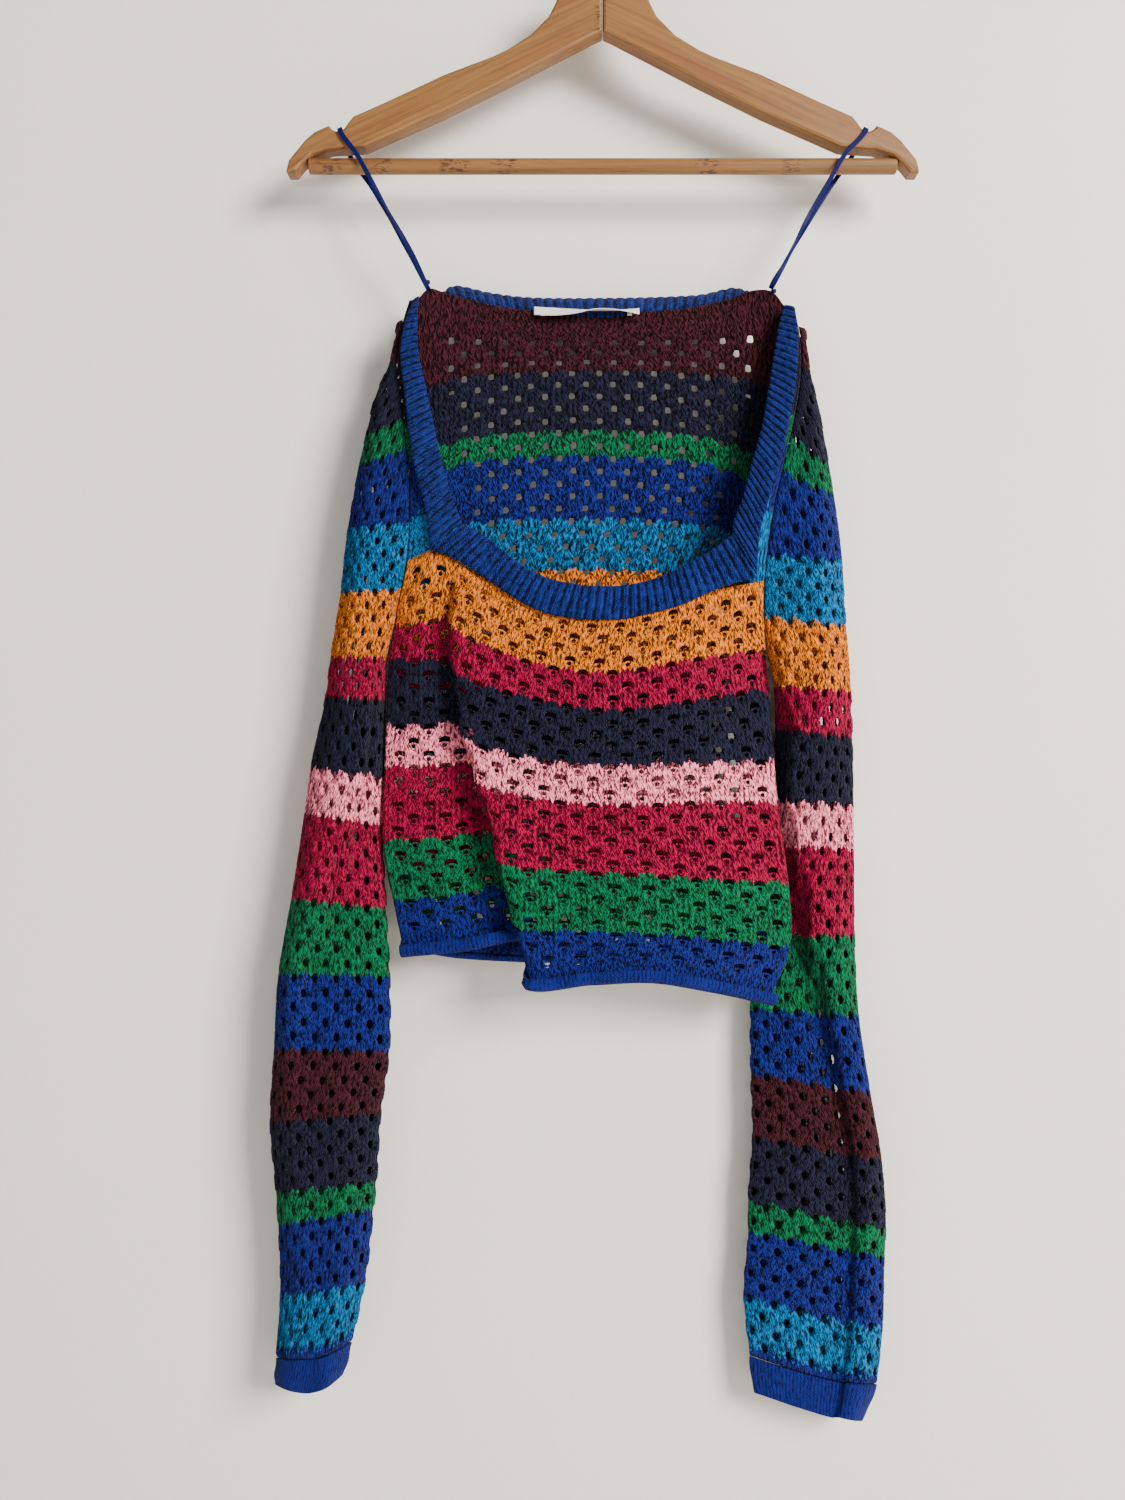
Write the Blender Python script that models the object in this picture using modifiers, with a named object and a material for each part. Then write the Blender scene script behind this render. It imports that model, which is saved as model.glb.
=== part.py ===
"""Crochet sweater hanging by two ribbon loops from a wooden hanger.

Lengths are in millimetres until a mesh is made. The origin is the inside top
of the hook, +X runs to the right of the front view, +Y into the wall, +Z up.
Tables give places as they look in the plane of the hanger from EYE_DISTANCE
in front, each with its own depth; place() turns them into real places.
"""
import math

import bmesh
import bpy
import numpy as np

MM = 0.001
EYE_DISTANCE = 780.0
EYE_X = -27.7
EYE_Z = -599.3

# cloth
WALL = 1.8
SEAM_GAP = 0.85
BAND_WALL = 2.6
RIB_HEIGHT = 0.8
HEM_ROLL_RADIUS = 3.4
HEM_ROLL_TURN = math.radians(235.0)
LABEL_WALL = 0.8

# hanger
ARM_DEPTH = 13.0
ARM_EDGE = 2.0
JOINT_GAP = 0.4
BAR_RADIUS = 5.2
BAR_HALF_LENGTH = 203.0
BAR_Z = -195.5
WIRE_RADIUS = 2.0
HOOK_INSIDE_RADIUS = 18.0
SOCKET_CLEAR = 0.4

# ribbon
RIBBON_WIDTH = 3.4
RIBBON_WALL = 0.8

# how finely each sheet is drawn
FRONT_COLUMNS = 28
FRONT_ROWS = 15
BACK_COLUMNS = 18
BACK_ROWS = 19
SLEEVE_COLUMNS = 22
SLEEVE_ROWS = 24

COLLECTION = "crochet_sweater_on_hanger"

# front panel, one line a level: name, left edge x z, valley x z, ridge x z,
# three heights between ridge and right edge, right edge x z,
# depths at left edge, left pleat, valley, ridge, middle, right quarter, right edge
FRONT_LEVELS = [
    ("neck", -134.0, -461.0, -121.0, -461.0, -116.0, -460.5,
     -491.0, -505.0, -493.0, 112.0, -482.0, -10.5, -12.5, -15.5, -17.2, -20.5, -19.5, -10.0),
    ("orange to magenta", -143.5, -513.0, -107.0, -508.0, -103.0, -515.0,
     -538.0, -545.0, -537.0, 110.0, -529.0, -1.4, -11.0, -12.0, -23.0, -26.0, -22.0, -2.6),
    ("magenta to navy", -146.5, -535.0, -105.0, -536.0, -101.0, -546.0,
     -563.0, -571.0, -565.0, 113.0, -556.0, -1.4, -11.0, -10.0, -24.0, -26.0, -22.0, -1.4),
    ("navy to pink", -148.0, -582.0, -92.0, -580.0, -96.5, -590.0,
     -606.0, -610.0, -608.0, 119.0, -606.0, -1.4, -11.0, -8.0, -25.0, -25.0, -21.0, -1.4),
    ("pink to magenta", -149.0, -610.0, -81.0, -608.0, -87.0, -621.0,
     -634.0, -637.0, -635.0, 121.0, -635.0, -1.4, -10.0, -7.0, -25.0, -25.0, -20.0, -1.4),
    ("magenta to green", -150.5, -662.0, -66.0, -656.0, -72.5, -676.0,
     -683.0, -685.0, -689.0, 129.0, -691.0, -1.4, -9.0, -6.0, -25.0, -24.0, -18.0, -1.4),
    ("green to blue", -143.0, -704.0, -54.0, -694.0, -60.5, -721.0,
     -725.0, -727.0, -731.0, 130.0, -736.0, -1.4, -8.0, -5.5, -25.0, -23.0, -17.0, -1.4),
    ("hem", -138.5, -730.0, -46.5, -726.0, -50.5, -757.0,
     -755.0, -753.5, -760.0, 117.5, -769.0, -1.4, -7.0, -6.0, -24.0, -22.0, -16.0, -1.4),
]

# front straps beside the neck: armhole edge x z depth, band edge x z depth
STRAP_LEFT = [
    (-133.5, -288.5, -1.6, -129.5, -288.0, -2.4),
    (-137.5, -302.0, -2.6, -133.0, -302.0, -4.2),
    (-142.0, -325.0, -4.0, -136.0, -325.0, -6.6),
    (-139.5, -350.0, -6.5, -132.5, -350.0, -9.6),
    (-136.5, -371.0, -8.5, -130.0, -371.0, -11.8),
    (-134.0, -395.0, -10.0, -127.0, -396.0, -13.8),
    (-133.2, -428.0, -11.0, -120.5, -428.0, -15.4),
]
STRAP_RIGHT = [
    (133.0, -293.5, -1.6, 129.0, -293.0, -2.4),
    (137.5, -320.0, -3.6, 131.0, -320.0, -6.2),
    (136.5, -346.0, -6.5, 129.0, -346.0, -9.2),
    (130.5, -379.0, -9.5, 123.5, -379.0, -12.2),
    (124.5, -404.0, -10.8, 117.0, -404.0, -14.0),
    (118.0, -432.0, -11.5, 109.0, -432.0, -15.5),
    (113.8, -460.0, -11.4, 104.5, -460.0, -16.6),
]

# armhole seams from the shoulder to the underarm: x z depth
ARMHOLE_FRONT_LEFT = [
    (-133.8, -288.5, -1.6), (-137.9, -302.0, -2.8), (-142.2, -326.0, -4.1), (-139.7, -349.0, -6.5),
    (-136.9, -370.0, -8.5), (-134.4, -393.0, -10.0), (-133.6, -434.0, -11.0), (-134.4, -461.0, -10.5),
    (-139.0, -487.0, -6.0), (-143.0, -505.0, -1.2),
]
ARMHOLE_BACK_LEFT = [
    (-128.3, -287.3, 2.6), (-131.0, -320.0, 5.2), (-130.8, -339.0, 6.0), (-129.6, -350.0, 6.4),
    (-124.8, -380.0, 7.0), (-120.5, -400.0, 7.2), (-117.5, -430.0, 7.2), (-120.5, -455.0, 6.6),
    (-130.5, -483.0, 4.2), (-143.0, -505.0, 1.2),
]
ARMHOLE_FRONT_RIGHT = [
    (133.2, -293.7, -1.6), (137.5, -325.0, -4.2), (136.2, -350.0, -6.9), (130.7, -379.0, -9.5),
    (124.7, -404.0, -10.8), (118.0, -434.0, -11.4), (114.0, -461.0, -11.3), (111.9, -490.0, -9.5),
    (112.3, -513.0, -5.4), (114.3, -530.0, -1.2),
]
ARMHOLE_BACK_RIGHT = [
    (126.4, -292.2, 2.6), (127.8, -318.0, 5.2), (127.3, -338.0, 6.0), (124.2, -358.0, 6.9),
    (119.4, -382.0, 7.5), (113.3, -403.0, 8.0), (105.6, -448.0, 8.4), (106.4, -486.0, 7.4),
    (110.0, -514.0, 4.0), (114.3, -530.0, 1.2),
]

# back panel: its top edge, then one line a level: name, left x z depth, middle height,
# right x z depth, middle depth
BACK_TOP = [
    (-128.0, -287.0, 2.6), (-120.0, -279.6, 2.8), (-111.5, -281.8, 5.0), (-101.5, -284.6, 7.3),
    (-76.0, -291.1, 9.0), (-51.0, -294.6, 9.3), (2.0, -296.1, 9.3), (46.0, -294.6, 9.3),
    (68.5, -291.6, 9.0), (90.0, -286.0, 8.0), (104.0, -281.0, 5.4), (117.0, -281.6, 3.0),
    (126.0, -292.0, 2.6),
]
BACK_LEVELS = [
    ("maroon to navy", -131.0, -339.0, 6.0, -340.0, 127.0, -339.0, 6.0, 11.0),
    ("navy to green", -124.0, -382.0, 7.0, -378.0, 119.0, -382.0, 7.5, 13.0),
    ("green to blue", -119.5, -400.0, 7.2, -398.0, 113.5, -401.0, 8.0, 13.5),
    ("blue to cyan", -113.0, -441.0, 7.2, -442.0, 105.0, -442.0, 8.5, 14.0),
    ("cyan to orange", -126.0, -486.0, 4.2, -486.0, 105.5, -484.0, 7.5, 14.0),
    ("orange to magenta", -144.5, -526.0, 1.4, -532.0, 113.0, -534.0, 2.2, 14.0),
    ("magenta to navy", -147.0, -552.0, 1.4, -560.0, 115.5, -560.0, 1.4, 14.0),
    ("navy to pink", -148.2, -598.0, 1.4, -604.0, 119.5, -608.0, 1.4, 13.0),
    ("pink to magenta", -149.5, -626.0, 1.4, -632.0, 122.0, -636.0, 1.4, 13.0),
    ("magenta to green", -149.5, -684.0, 1.4, -688.0, 129.0, -693.0, 1.4, 12.0),
    ("green to blue", -142.5, -712.0, 1.4, -722.0, 130.0, -728.0, 1.4, 12.0),
    ("hem", -138.5, -730.0, 1.4, -742.0, 119.0, -762.0, 1.4, 12.0),
]

# sleeve cap levels: outer edge x z depth, front seam x z depth, back seam x z depth,
# front depth, back depth
CAP_LEFT = [
    ("shoulder", -141.0, -303.0, 1.5, -137.6, -301.0, -2.8, -129.8, -301.5, 3.8, -3.0, 6.0),
    ("maroon to navy", -146.0, -331.0, 3.0, -142.4, -327.0, -4.2, -131.6, -329.0, 5.6, -4.7, 9.5),
    ("navy upper part", -156.0, -354.0, 3.5, -139.9, -348.0, -6.4, -129.6, -350.0, 6.4, -7.4, 12.0),
    ("navy to green", -162.0, -379.0, 3.5, -137.3, -369.0, -8.6, -126.0, -372.0, 6.9, -10.0, 15.5),
    ("green to blue", -167.0, -401.0, 3.5, -134.8, -389.0, -9.9, -121.6, -395.0, 7.1, -12.0, 18.0),
    ("blue to cyan", -175.0, -446.0, 3.5, -134.0, -441.0, -11.0, -113.6, -441.0, 7.2, -13.5, 22.0),
    ("cyan to orange", -180.0, -489.0, 3.5, -139.6, -487.0, -6.0, -127.2, -486.0, 4.1, -14.0, 24.0),
]
CAP_RIGHT = [
    ("shoulder", 139.5, -307.5, 1.5, 135.0, -306.0, -2.8, 127.2, -306.0, 3.8, -3.0, 6.0),
    ("maroon to navy", 142.5, -337.0, 3.5, 137.4, -333.0, -5.0, 128.0, -334.0, 5.6, -5.4, 10.0),
    ("navy upper part", 149.0, -365.0, 4.0, 135.6, -355.0, -7.4, 124.6, -358.0, 6.8, -8.4, 14.0),
    ("navy to green", 155.5, -402.0, 4.0, 130.9, -379.0, -9.5, 119.6, -382.0, 7.5, -11.2, 18.0),
    ("green to blue", 158.5, -421.0, 4.0, 124.9, -404.0, -10.8, 113.2, -404.0, 8.0, -12.8, 20.0),
    ("blue to cyan", 164.5, -467.0, 4.5, 114.2, -463.0, -11.2, 105.3, -463.0, 8.2, -15.0, 24.0),
    ("cyan to orange", 167.5, -513.0, 5.0, 111.4, -506.0, -6.4, 109.0, -508.0, 5.2, -15.0, 26.0),
]

# sleeve tube levels: outer edge x z depth, inner edge x z depth, fold x,
# front depth beside the inner edge, front depth of the lobe, back depth, sag of the middle
TUBE_LEFT = [
    ("underarm", -182.5, -506.0, 3.5, -143.3, -504.5, 0.0, -160.0, -13.0, -14.0, 25.0, 0.0),
    ("orange to magenta", -187.0, -534.0, 4.0, -150.8, -535.0, 2.0, -160.0, -10.5, -13.0, 26.0, 0.0),
    ("magenta to navy", -190.5, -561.0, 4.0, -152.2, -563.0, 3.0, -160.0, -6.0, -13.5, 26.0, 0.0),
    ("navy to pink", -201.0, -612.0, 4.0, -153.6, -618.0, 4.0, -165.0, -3.0, -14.0, 24.0, 0.0),
    ("pink to magenta", -205.0, -642.0, 4.0, -155.0, -650.0, 4.5, -173.0, -2.5, -14.0, 24.0, 0.0),
    ("magenta to green", -214.0, -701.0, 4.0, -151.5, -708.0, 4.0, -190.0, -3.5, -12.5, 22.0, 0.0),
    ("green to blue", -223.0, -754.0, 3.0, -148.0, -756.0, 3.0, -206.0, -6.0, -11.0, 20.0, 0.0),
    ("blue to maroon", -226.0, -805.0, 3.0, -148.0, -807.0, 3.0, -209.0, -8.0, -10.0, 18.0, 0.0),
    ("maroon to navy", -229.0, -857.0, 3.0, -154.0, -851.0, 3.0, -205.0, -9.0, -10.0, 17.0, 0.0),
    ("navy to green", -225.0, -905.0, 3.0, -157.0, -897.0, 3.0, -200.0, -9.0, -10.0, 16.0, 0.0),
    ("green to blue low", -223.5, -927.0, 3.0, -159.0, -916.0, 3.0, -198.0, -9.0, -9.5, 16.0, 0.0),
    ("blue to cyan", -222.0, -976.0, 3.0, -165.0, -967.0, 3.0, -198.0, -8.5, -9.0, 15.0, -2.0),
    ("cuff seam", -225.0, -1019.0, 3.0, -174.0, -1008.0, 3.0, -203.0, -8.0, -8.5, 14.0, -6.0),
]
TUBE_RIGHT = [
    ("underarm", 169.0, -533.0, 5.5, 114.9, -530.0, 0.0, 140.0, -12.0, -14.0, 27.0, 0.0),
    ("orange to magenta", 171.0, -559.0, 6.5, 119.4, -554.0, 4.0, 136.0, -9.0, -12.0, 28.0, 0.0),
    ("magenta to navy", 172.0, -589.0, 8.0, 120.5, -583.0, 9.0, 131.0, 2.5, -9.5, 29.0, 0.0),
    ("navy to pink", 172.5, -637.0, 9.5, 117.5, -633.0, 15.0, 128.5, 8.5, -6.0, 31.0, 0.0),
    ("pink to magenta", 173.0, -668.0, 11.0, 112.0, -665.0, 18.5, 133.5, 11.5, -2.0, 32.0, 0.0),
    ("magenta to green", 173.5, -727.0, 13.5, 107.0, -727.0, 21.5, 143.0, 13.5, 2.0, 33.0, 0.0),
    ("green to blue", 176.0, -781.0, 15.0, 103.0, -776.0, 21.0, 156.0, 12.5, 4.5, 33.0, 0.0),
    ("blue to maroon", 184.0, -835.0, 16.0, 103.0, -822.0, 20.0, 166.0, 11.5, 6.0, 32.0, 0.0),
    ("maroon to navy", 192.0, -883.0, 16.0, 104.0, -866.0, 19.0, 174.0, 10.5, 6.5, 30.0, 0.0),
    ("navy to green", 195.0, -931.0, 16.0, 101.0, -911.0, 18.0, 176.0, 9.5, 6.5, 28.0, 0.0),
    ("green to blue low", 194.0, -950.0, 16.0, 101.0, -932.0, 18.0, 175.0, 9.5, 6.5, 28.0, 0.0),
    ("blue to cyan", 193.0, -996.0, 16.0, 98.0, -975.0, 17.0, 173.0, 9.0, 6.5, 27.0, -2.0),
    ("cuff seam", 189.0, -1037.0, 15.0, 102.0, -1018.0, 16.0, 168.0, 8.5, 6.5, 25.0, -4.0),
]

# cuffs: as the sleeve tube, upper edge then the middle then the lower edge
CUFF_LEFT = [
    ("seam", -225.0, -1020.0, 3.0, -174.2, -1009.0, 3.0, -203.0, -8.0, -8.5, 14.0, -6.0),
    ("middle", -226.0, -1030.0, 3.0, -176.5, -1020.0, 3.0, -204.0, -8.6, -9.1, 14.6, -8.0),
    ("edge", -226.0, -1038.0, 3.0, -180.0, -1031.0, 3.0, -205.0, -10.2, -10.7, 16.0, -9.5),
]
CUFF_RIGHT = [
    ("seam", 188.9, -1038.0, 15.0, 102.0, -1019.1, 16.0, 168.0, 8.5, 6.5, 25.0, -4.0),
    ("middle", 185.0, -1050.0, 15.0, 103.0, -1031.0, 16.0, 166.0, 7.9, 6.2, 25.6, -4.0),
    ("edge", 178.5, -1062.5, 15.0, 106.0, -1043.5, 16.0, 162.0, 6.4, 5.0, 27.0, -3.0),
]

# neck band lengths: outer edge x z depth, inner edge x z depth
BAND_FRONT = [
    (-118.6, -461.0, -20.2, -96.6, -442.9, -18.0),
    (-104.0, -466.0, -21.0, -82.0, -450.5, -18.8),
    (-85.0, -477.5, -22.2, -70.0, -460.5, -19.6),
    (-65.0, -491.5, -23.4, -54.0, -472.5, -20.4),
    (-46.0, -502.0, -24.0, -37.0, -480.5, -21.0),
    (-26.0, -507.5, -24.3, -19.5, -484.5, -21.2),
    (-6.0, -509.0, -24.3, -3.0, -486.0, -21.2),
    (14.0, -508.5, -24.2, 13.5, -485.5, -21.2),
    (34.0, -504.5, -24.0, 30.0, -482.5, -21.0),
    (54.0, -499.0, -23.6, 46.5, -476.5, -20.6),
    (74.0, -490.0, -22.8, 63.0, -468.5, -20.0),
    (91.0, -484.0, -21.6, 77.5, -459.5, -19.0),
    (106.3, -479.8, -20.5, 89.0, -451.4, -18.2),
]
BAND_LEFT = [
    (-131.0, -287.5, -5.8, -127.0, -285.5, -4.4),
    (-136.0, -300.0, -7.8, -128.0, -300.0, -5.8),
    (-140.0, -324.0, -10.2, -127.5, -322.0, -7.8),
    (-137.0, -352.0, -13.2, -121.5, -352.0, -10.4),
    (-134.0, -380.0, -15.6, -116.0, -378.0, -12.8),
    (-129.0, -410.0, -17.6, -109.5, -406.0, -15.2),
    (-123.0, -432.0, -18.8, -103.0, -427.0, -16.7),
    (-119.2, -460.0, -20.2, -97.4, -441.8, -18.0),
]
BAND_RIGHT = [
    (132.6, -293.0, -5.0, 125.5, -292.0, -3.6),
    (135.0, -306.0, -7.1, 122.0, -305.0, -5.3),
    (135.5, -320.0, -8.9, 119.5, -319.0, -6.9),
    (133.5, -346.0, -12.0, 115.5, -345.0, -9.6),
    (128.5, -376.0, -14.9, 110.5, -374.0, -12.3),
    (121.5, -402.0, -16.9, 103.5, -400.0, -14.6),
    (114.5, -426.0, -18.3, 97.0, -424.0, -16.2),
    (108.5, -452.0, -19.6, 90.5, -442.0, -17.4),
    (107.0, -478.6, -20.3, 90.0, -450.2, -18.0),
]
BAND_BACK = [
    (-114.0, -281.0, 6.0, -117.0, -277.8, 15.0),
    (-102.0, -283.0, 8.0, -103.0, -278.6, 19.0),
    (-76.0, -289.5, 9.5, -77.0, -283.5, 22.0),
    (-51.0, -293.0, 9.5, -52.0, -286.5, 22.0),
    (2.0, -294.5, 9.5, 2.0, -287.0, 22.0),
    (46.0, -293.0, 9.5, 47.0, -286.0, 22.0),
    (68.0, -290.0, 9.5, 69.0, -284.5, 22.0),
    (90.0, -284.5, 8.5, 91.0, -280.0, 20.0),
    (104.0, -279.5, 6.0, 107.0, -276.0, 15.0),
]
RIBS_FRONT = 38
RIBS_LEFT = 33
RIBS_RIGHT = 34
RIBS_BACK = 31

# label: upper edge x z depth, lower edge z depth
LABEL_LEVELS = [
    (-47.4, -294.9, 7.8, -300.2, 4.0),
    (-33.0, -295.7, 7.8, -300.6, 1.4),
    (-19.0, -296.3, 7.8, -300.2, -1.2),
    (-5.0, -296.5, 7.8, -299.6, -2.4),
    (9.0, -296.5, 7.8, -299.4, -2.0),
    (25.4, -295.9, 7.8, -299.8, 3.0),
]

# ribbon loops as seen from the front: x z depth, up the front and down the back
LOOP_LEFT = [
    (-120.4, -280.7, 1.8), (-121.8, -277.6, -1.4), (-131.0, -257.5, -5.6), (-145.0, -232.0, -7.6),
    (-159.0, -207.0, -8.6), (-170.5, -186.5, -8.6), (-178.6, -175.6, -8.5),
    (-181.9, -170.4, -8.2), (-182.2, -168.6, -7.4), (-181.9, -168.9, -5.0), (-180.9, -171.6, 0.0),
    (-179.9, -174.4, 5.0), (-179.3, -176.8, 7.4), (-178.7, -179.4, 8.2), (-173.0, -192.0, 8.6),
    (-161.0, -209.0, 8.6), (-147.0, -234.0, 7.2), (-132.5, -258.5, 5.6), (-122.4, -277.2, 4.4),
]
LOOP_RIGHT = [
    (116.4, -280.1, 1.8), (118.2, -277.2, -1.4), (128.5, -258.0, -5.6), (141.0, -233.0, -7.6),
    (156.0, -207.0, -8.6), (168.5, -186.0, -8.6), (178.6, -175.6, -8.5),
    (182.5, -170.4, -8.2), (182.7, -168.6, -7.4), (182.2, -168.9, -5.0), (180.9, -171.6, 0.0),
    (179.6, -174.4, 5.0), (178.7, -176.8, 7.4), (178.1, -179.4, 8.2), (171.0, -191.0, 8.6),
    (158.5, -209.0, 8.6), (143.5, -235.0, 7.2), (130.0, -259.5, 5.6), (118.8, -276.4, 4.4),
]

# hanger arm, left one: upper outline seen at the near face, lower outline at the far face
ARM_UPPER = [
    (-0.6, -56.0), (-15.0, -57.0), (-24.0, -62.0), (-30.0, -71.0), (-32.2, -80.3), (-37.4, -90.7),
    (-50.2, -103.8), (-67.0, -114.2), (-75.8, -118.3), (-109.7, -131.1), (-150.5, -150.2),
    (-172.9, -160.1), (-176.0, -163.8), (-179.2, -168.4), (-181.8, -170.2), (-185.0, -170.2),
    (-187.8, -168.6), (-189.6, -166.2), (-199.8, -170.9), (-206.6, -176.8), (-213.1, -184.8),
    (-217.6, -190.4), (-219.4, -197.6),
]
ARM_LOWER = [
    (-215.6, -205.8), (-209.8, -205.6), (-205.0, -199.8), (-198.0, -193.4), (-186.0, -189.8),
    (-162.3, -188.2), (-109.7, -165.0), (-67.0, -143.9), (-5.9, -112.1), (-0.6, -109.6),
]


def place(x, z, depth):
    """Real place of a point that looks to be at x, z and lies at this depth."""
    grow = (EYE_DISTANCE + depth) / EYE_DISTANCE
    return np.array([EYE_X + (x - EYE_X) * grow, depth, EYE_Z + (z - EYE_Z) * grow])


def slopes(stops, values, closed=False):
    """Slope at each stop, from its two neighbours."""
    stops = np.asarray(stops, float)
    values = np.asarray(values, float)
    gaps = np.diff(stops)
    steps = np.diff(values, axis=0)
    shape = (-1,) + (1,) * (values.ndim - 1)
    rates = steps / gaps.reshape(shape)
    out = np.empty_like(values)
    if len(stops) == 2:
        out[:] = rates[0]
        return out
    before = gaps[:-1].reshape(shape)
    after = gaps[1:].reshape(shape)
    out[1:-1] = (rates[:-1] * after + rates[1:] * before) / (before + after)
    if closed:
        out[0] = (rates[-1] * gaps[0] + rates[0] * gaps[-1]) / (gaps[0] + gaps[-1])
        out[-1] = out[0]
    else:
        out[0] = rates[0]
        out[-1] = rates[-1]
    return out


def blend(stops, values, wanted, closed=False):
    """Smooth values at the wanted stops, through the given ones."""
    stops = np.asarray(stops, float)
    values = np.asarray(values, float)
    wanted = np.clip(np.atleast_1d(np.asarray(wanted, float)), stops[0], stops[-1])
    slope = slopes(stops, values, closed)
    index = np.clip(np.searchsorted(stops, wanted, side="right") - 1, 0, len(stops) - 2)
    gap = stops[index + 1] - stops[index]
    part = (wanted - stops[index]) / gap
    shape = (-1,) + (1,) * (values.ndim - 1)
    part = part.reshape(shape)
    gap = gap.reshape(shape)
    square = part * part
    cube = square * part
    start = (2 * cube - 3 * square + 1) * values[index]
    finish = (3 * square - 2 * cube) * values[index + 1]
    lean_start = (cube - 2 * square + part) * gap * slope[index]
    lean_finish = (cube - square) * gap * slope[index + 1]
    return start + finish + lean_start + lean_finish


def smooth_line(points, count, closed=False):
    """A smooth line through the points, as count places evenly spaced along it."""
    points = np.asarray(points, float)
    if closed:
        points = np.vstack([points, points[:1]])
    chords = np.linalg.norm(np.diff(points, axis=0), axis=1)
    stops = np.concatenate([[0.0], np.cumsum(np.sqrt(chords))])
    fine = blend(stops, points, np.linspace(0.0, stops[-1], 24 * len(points)), closed)
    run = np.concatenate([[0.0], np.cumsum(np.linalg.norm(np.diff(fine, axis=0), axis=1))])
    wanted = np.linspace(0.0, run[-1], count)
    return np.column_stack([np.interp(wanted, run, fine[:, axis]) for axis in range(3)])


def front_level(level, count):
    """One level of the front, from the left edge to the right one."""
    (_, left_x, left_z, valley_x, valley_z, ridge_x, ridge_z, first_z, middle_z, third_z,
     right_x, right_z, left_y, pleat_y, valley_y, ridge_y, middle_y, third_y, right_y) = level
    span = right_x - ridge_x
    points = [
        place(left_x + SEAM_GAP, left_z, left_y),
        place(0.55 * left_x + 0.45 * valley_x, 0.5 * (left_z + valley_z) - 1.0, pleat_y),
        place(valley_x, valley_z, valley_y),
        place(ridge_x, ridge_z, ridge_y),
        place(ridge_x + 0.25 * span, first_z, 0.5 * (ridge_y + middle_y) - 0.5),
        place(ridge_x + 0.5 * span, middle_z, middle_y),
        place(ridge_x + 0.75 * span, third_z, third_y),
        place(right_x - SEAM_GAP, right_z, right_y),
    ]
    return smooth_line(points, count)


def back_level(level, count):
    """One level of the back, from the left edge to the right one."""
    _, left_x, left_z, left_y, middle_z, right_x, right_z, right_y, middle_y = level
    span = right_x - left_x
    points = [
        place(left_x + SEAM_GAP, left_z, left_y),
        place(left_x + 0.12 * span, 0.75 * left_z + 0.25 * middle_z, 0.4 * left_y + 0.6 * middle_y),
        place(left_x + 0.30 * span, 0.35 * left_z + 0.65 * middle_z, middle_y),
        place(left_x + 0.50 * span, middle_z, middle_y),
        place(left_x + 0.70 * span, 0.35 * right_z + 0.65 * middle_z, middle_y),
        place(left_x + 0.88 * span, 0.75 * right_z + 0.25 * middle_z, 0.4 * right_y + 0.6 * middle_y),
        place(right_x - SEAM_GAP, right_z, right_y),
    ]
    return smooth_line(points, count)


def cap_level(level, count):
    """One level of a sleeve cap, from the front seam round the outside to the back seam."""
    (_, outer_x, outer_z, outer_y, front_x, front_z, front_y,
     back_x, back_z, back_y, near_y, far_y) = level
    points = [
        place(front_x, front_z, front_y),
        place(0.66 * front_x + 0.34 * outer_x, 0.66 * front_z + 0.34 * outer_z,
              0.7 * near_y + 0.3 * front_y),
        place(0.25 * front_x + 0.75 * outer_x, 0.25 * front_z + 0.75 * outer_z, near_y),
        place(outer_x, outer_z, outer_y),
        place(0.75 * outer_x + 0.25 * back_x, 0.75 * outer_z + 0.25 * back_z, far_y),
        place(0.34 * outer_x + 0.66 * back_x, 0.34 * outer_z + 0.66 * back_z,
              0.6 * far_y + 0.4 * back_y),
        place(back_x, back_z, back_y),
    ]
    return smooth_line(points, count)


def tube_level(level, count):
    """One closed level of a sleeve, from its inner edge round the front and the back."""
    (_, outer_x, outer_z, outer_y, inner_x, inner_z, inner_y,
     fold_x, recess_y, lobe_y, far_y, sag) = level
    share = (fold_x - inner_x) / (outer_x - inner_x)
    fold_z = inner_z + share * (outer_z - inner_z) + sag
    side = 1.0 if outer_x > inner_x else -1.0
    step = min(1.0, abs(recess_y - lobe_y) / 8.0)
    points = [
        place(inner_x, inner_z, inner_y),
        place(0.5 * (inner_x + fold_x), 0.5 * (inner_z + fold_z) + 0.4 * sag, recess_y),
        place(fold_x - side * (3.0 - 1.5 * step), fold_z, 0.8 * recess_y + 0.2 * lobe_y),
        place(fold_x + side * (3.0 - 1.5 * step), fold_z, 0.1 * recess_y + 0.9 * lobe_y),
        place(0.45 * fold_x + 0.55 * outer_x, 0.45 * fold_z + 0.55 * outer_z + 0.2 * sag, lobe_y),
        place(outer_x, outer_z, outer_y),
        place(0.72 * outer_x + 0.28 * inner_x, 0.72 * outer_z + 0.28 * inner_z + 0.6 * sag, far_y),
        place(0.28 * outer_x + 0.72 * inner_x, 0.28 * outer_z + 0.72 * inner_z + 0.6 * sag, far_y),
    ]
    return smooth_line(points, count, closed=True)


def levels_to_sheet(levels, rows):
    """Evenly spaced rows through a stack of levels."""
    stack = np.array(levels)
    spread = np.linalg.norm(np.diff(stack, axis=0), axis=2).mean(axis=1)
    stops = np.concatenate([[0.0], np.cumsum(spread)])
    return blend(stops, stack, np.linspace(0.0, stops[-1], rows))


def to_seam(points, seam, gap):
    """Points above the underarm moved onto the seam, short of it by the gap."""
    line = np.array([place(*point) for point in seam])
    points = np.array(points, float)
    above = points[:, 2] >= line[-1, 2]
    if not above.any():
        return points
    heights = -points[above, 2]
    across = blend(-line[:, 2], line[:, :2], heights)
    lean = blend(-line[:, 2], line[:, 0], heights + 1.0) - blend(-line[:, 2], line[:, 0], heights - 1.0)
    points[above, 0] = across[:, 0] + gap * np.sqrt(1.0 + (0.5 * lean) ** 2)
    points[above, 1] = across[:, 1]
    return points


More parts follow.
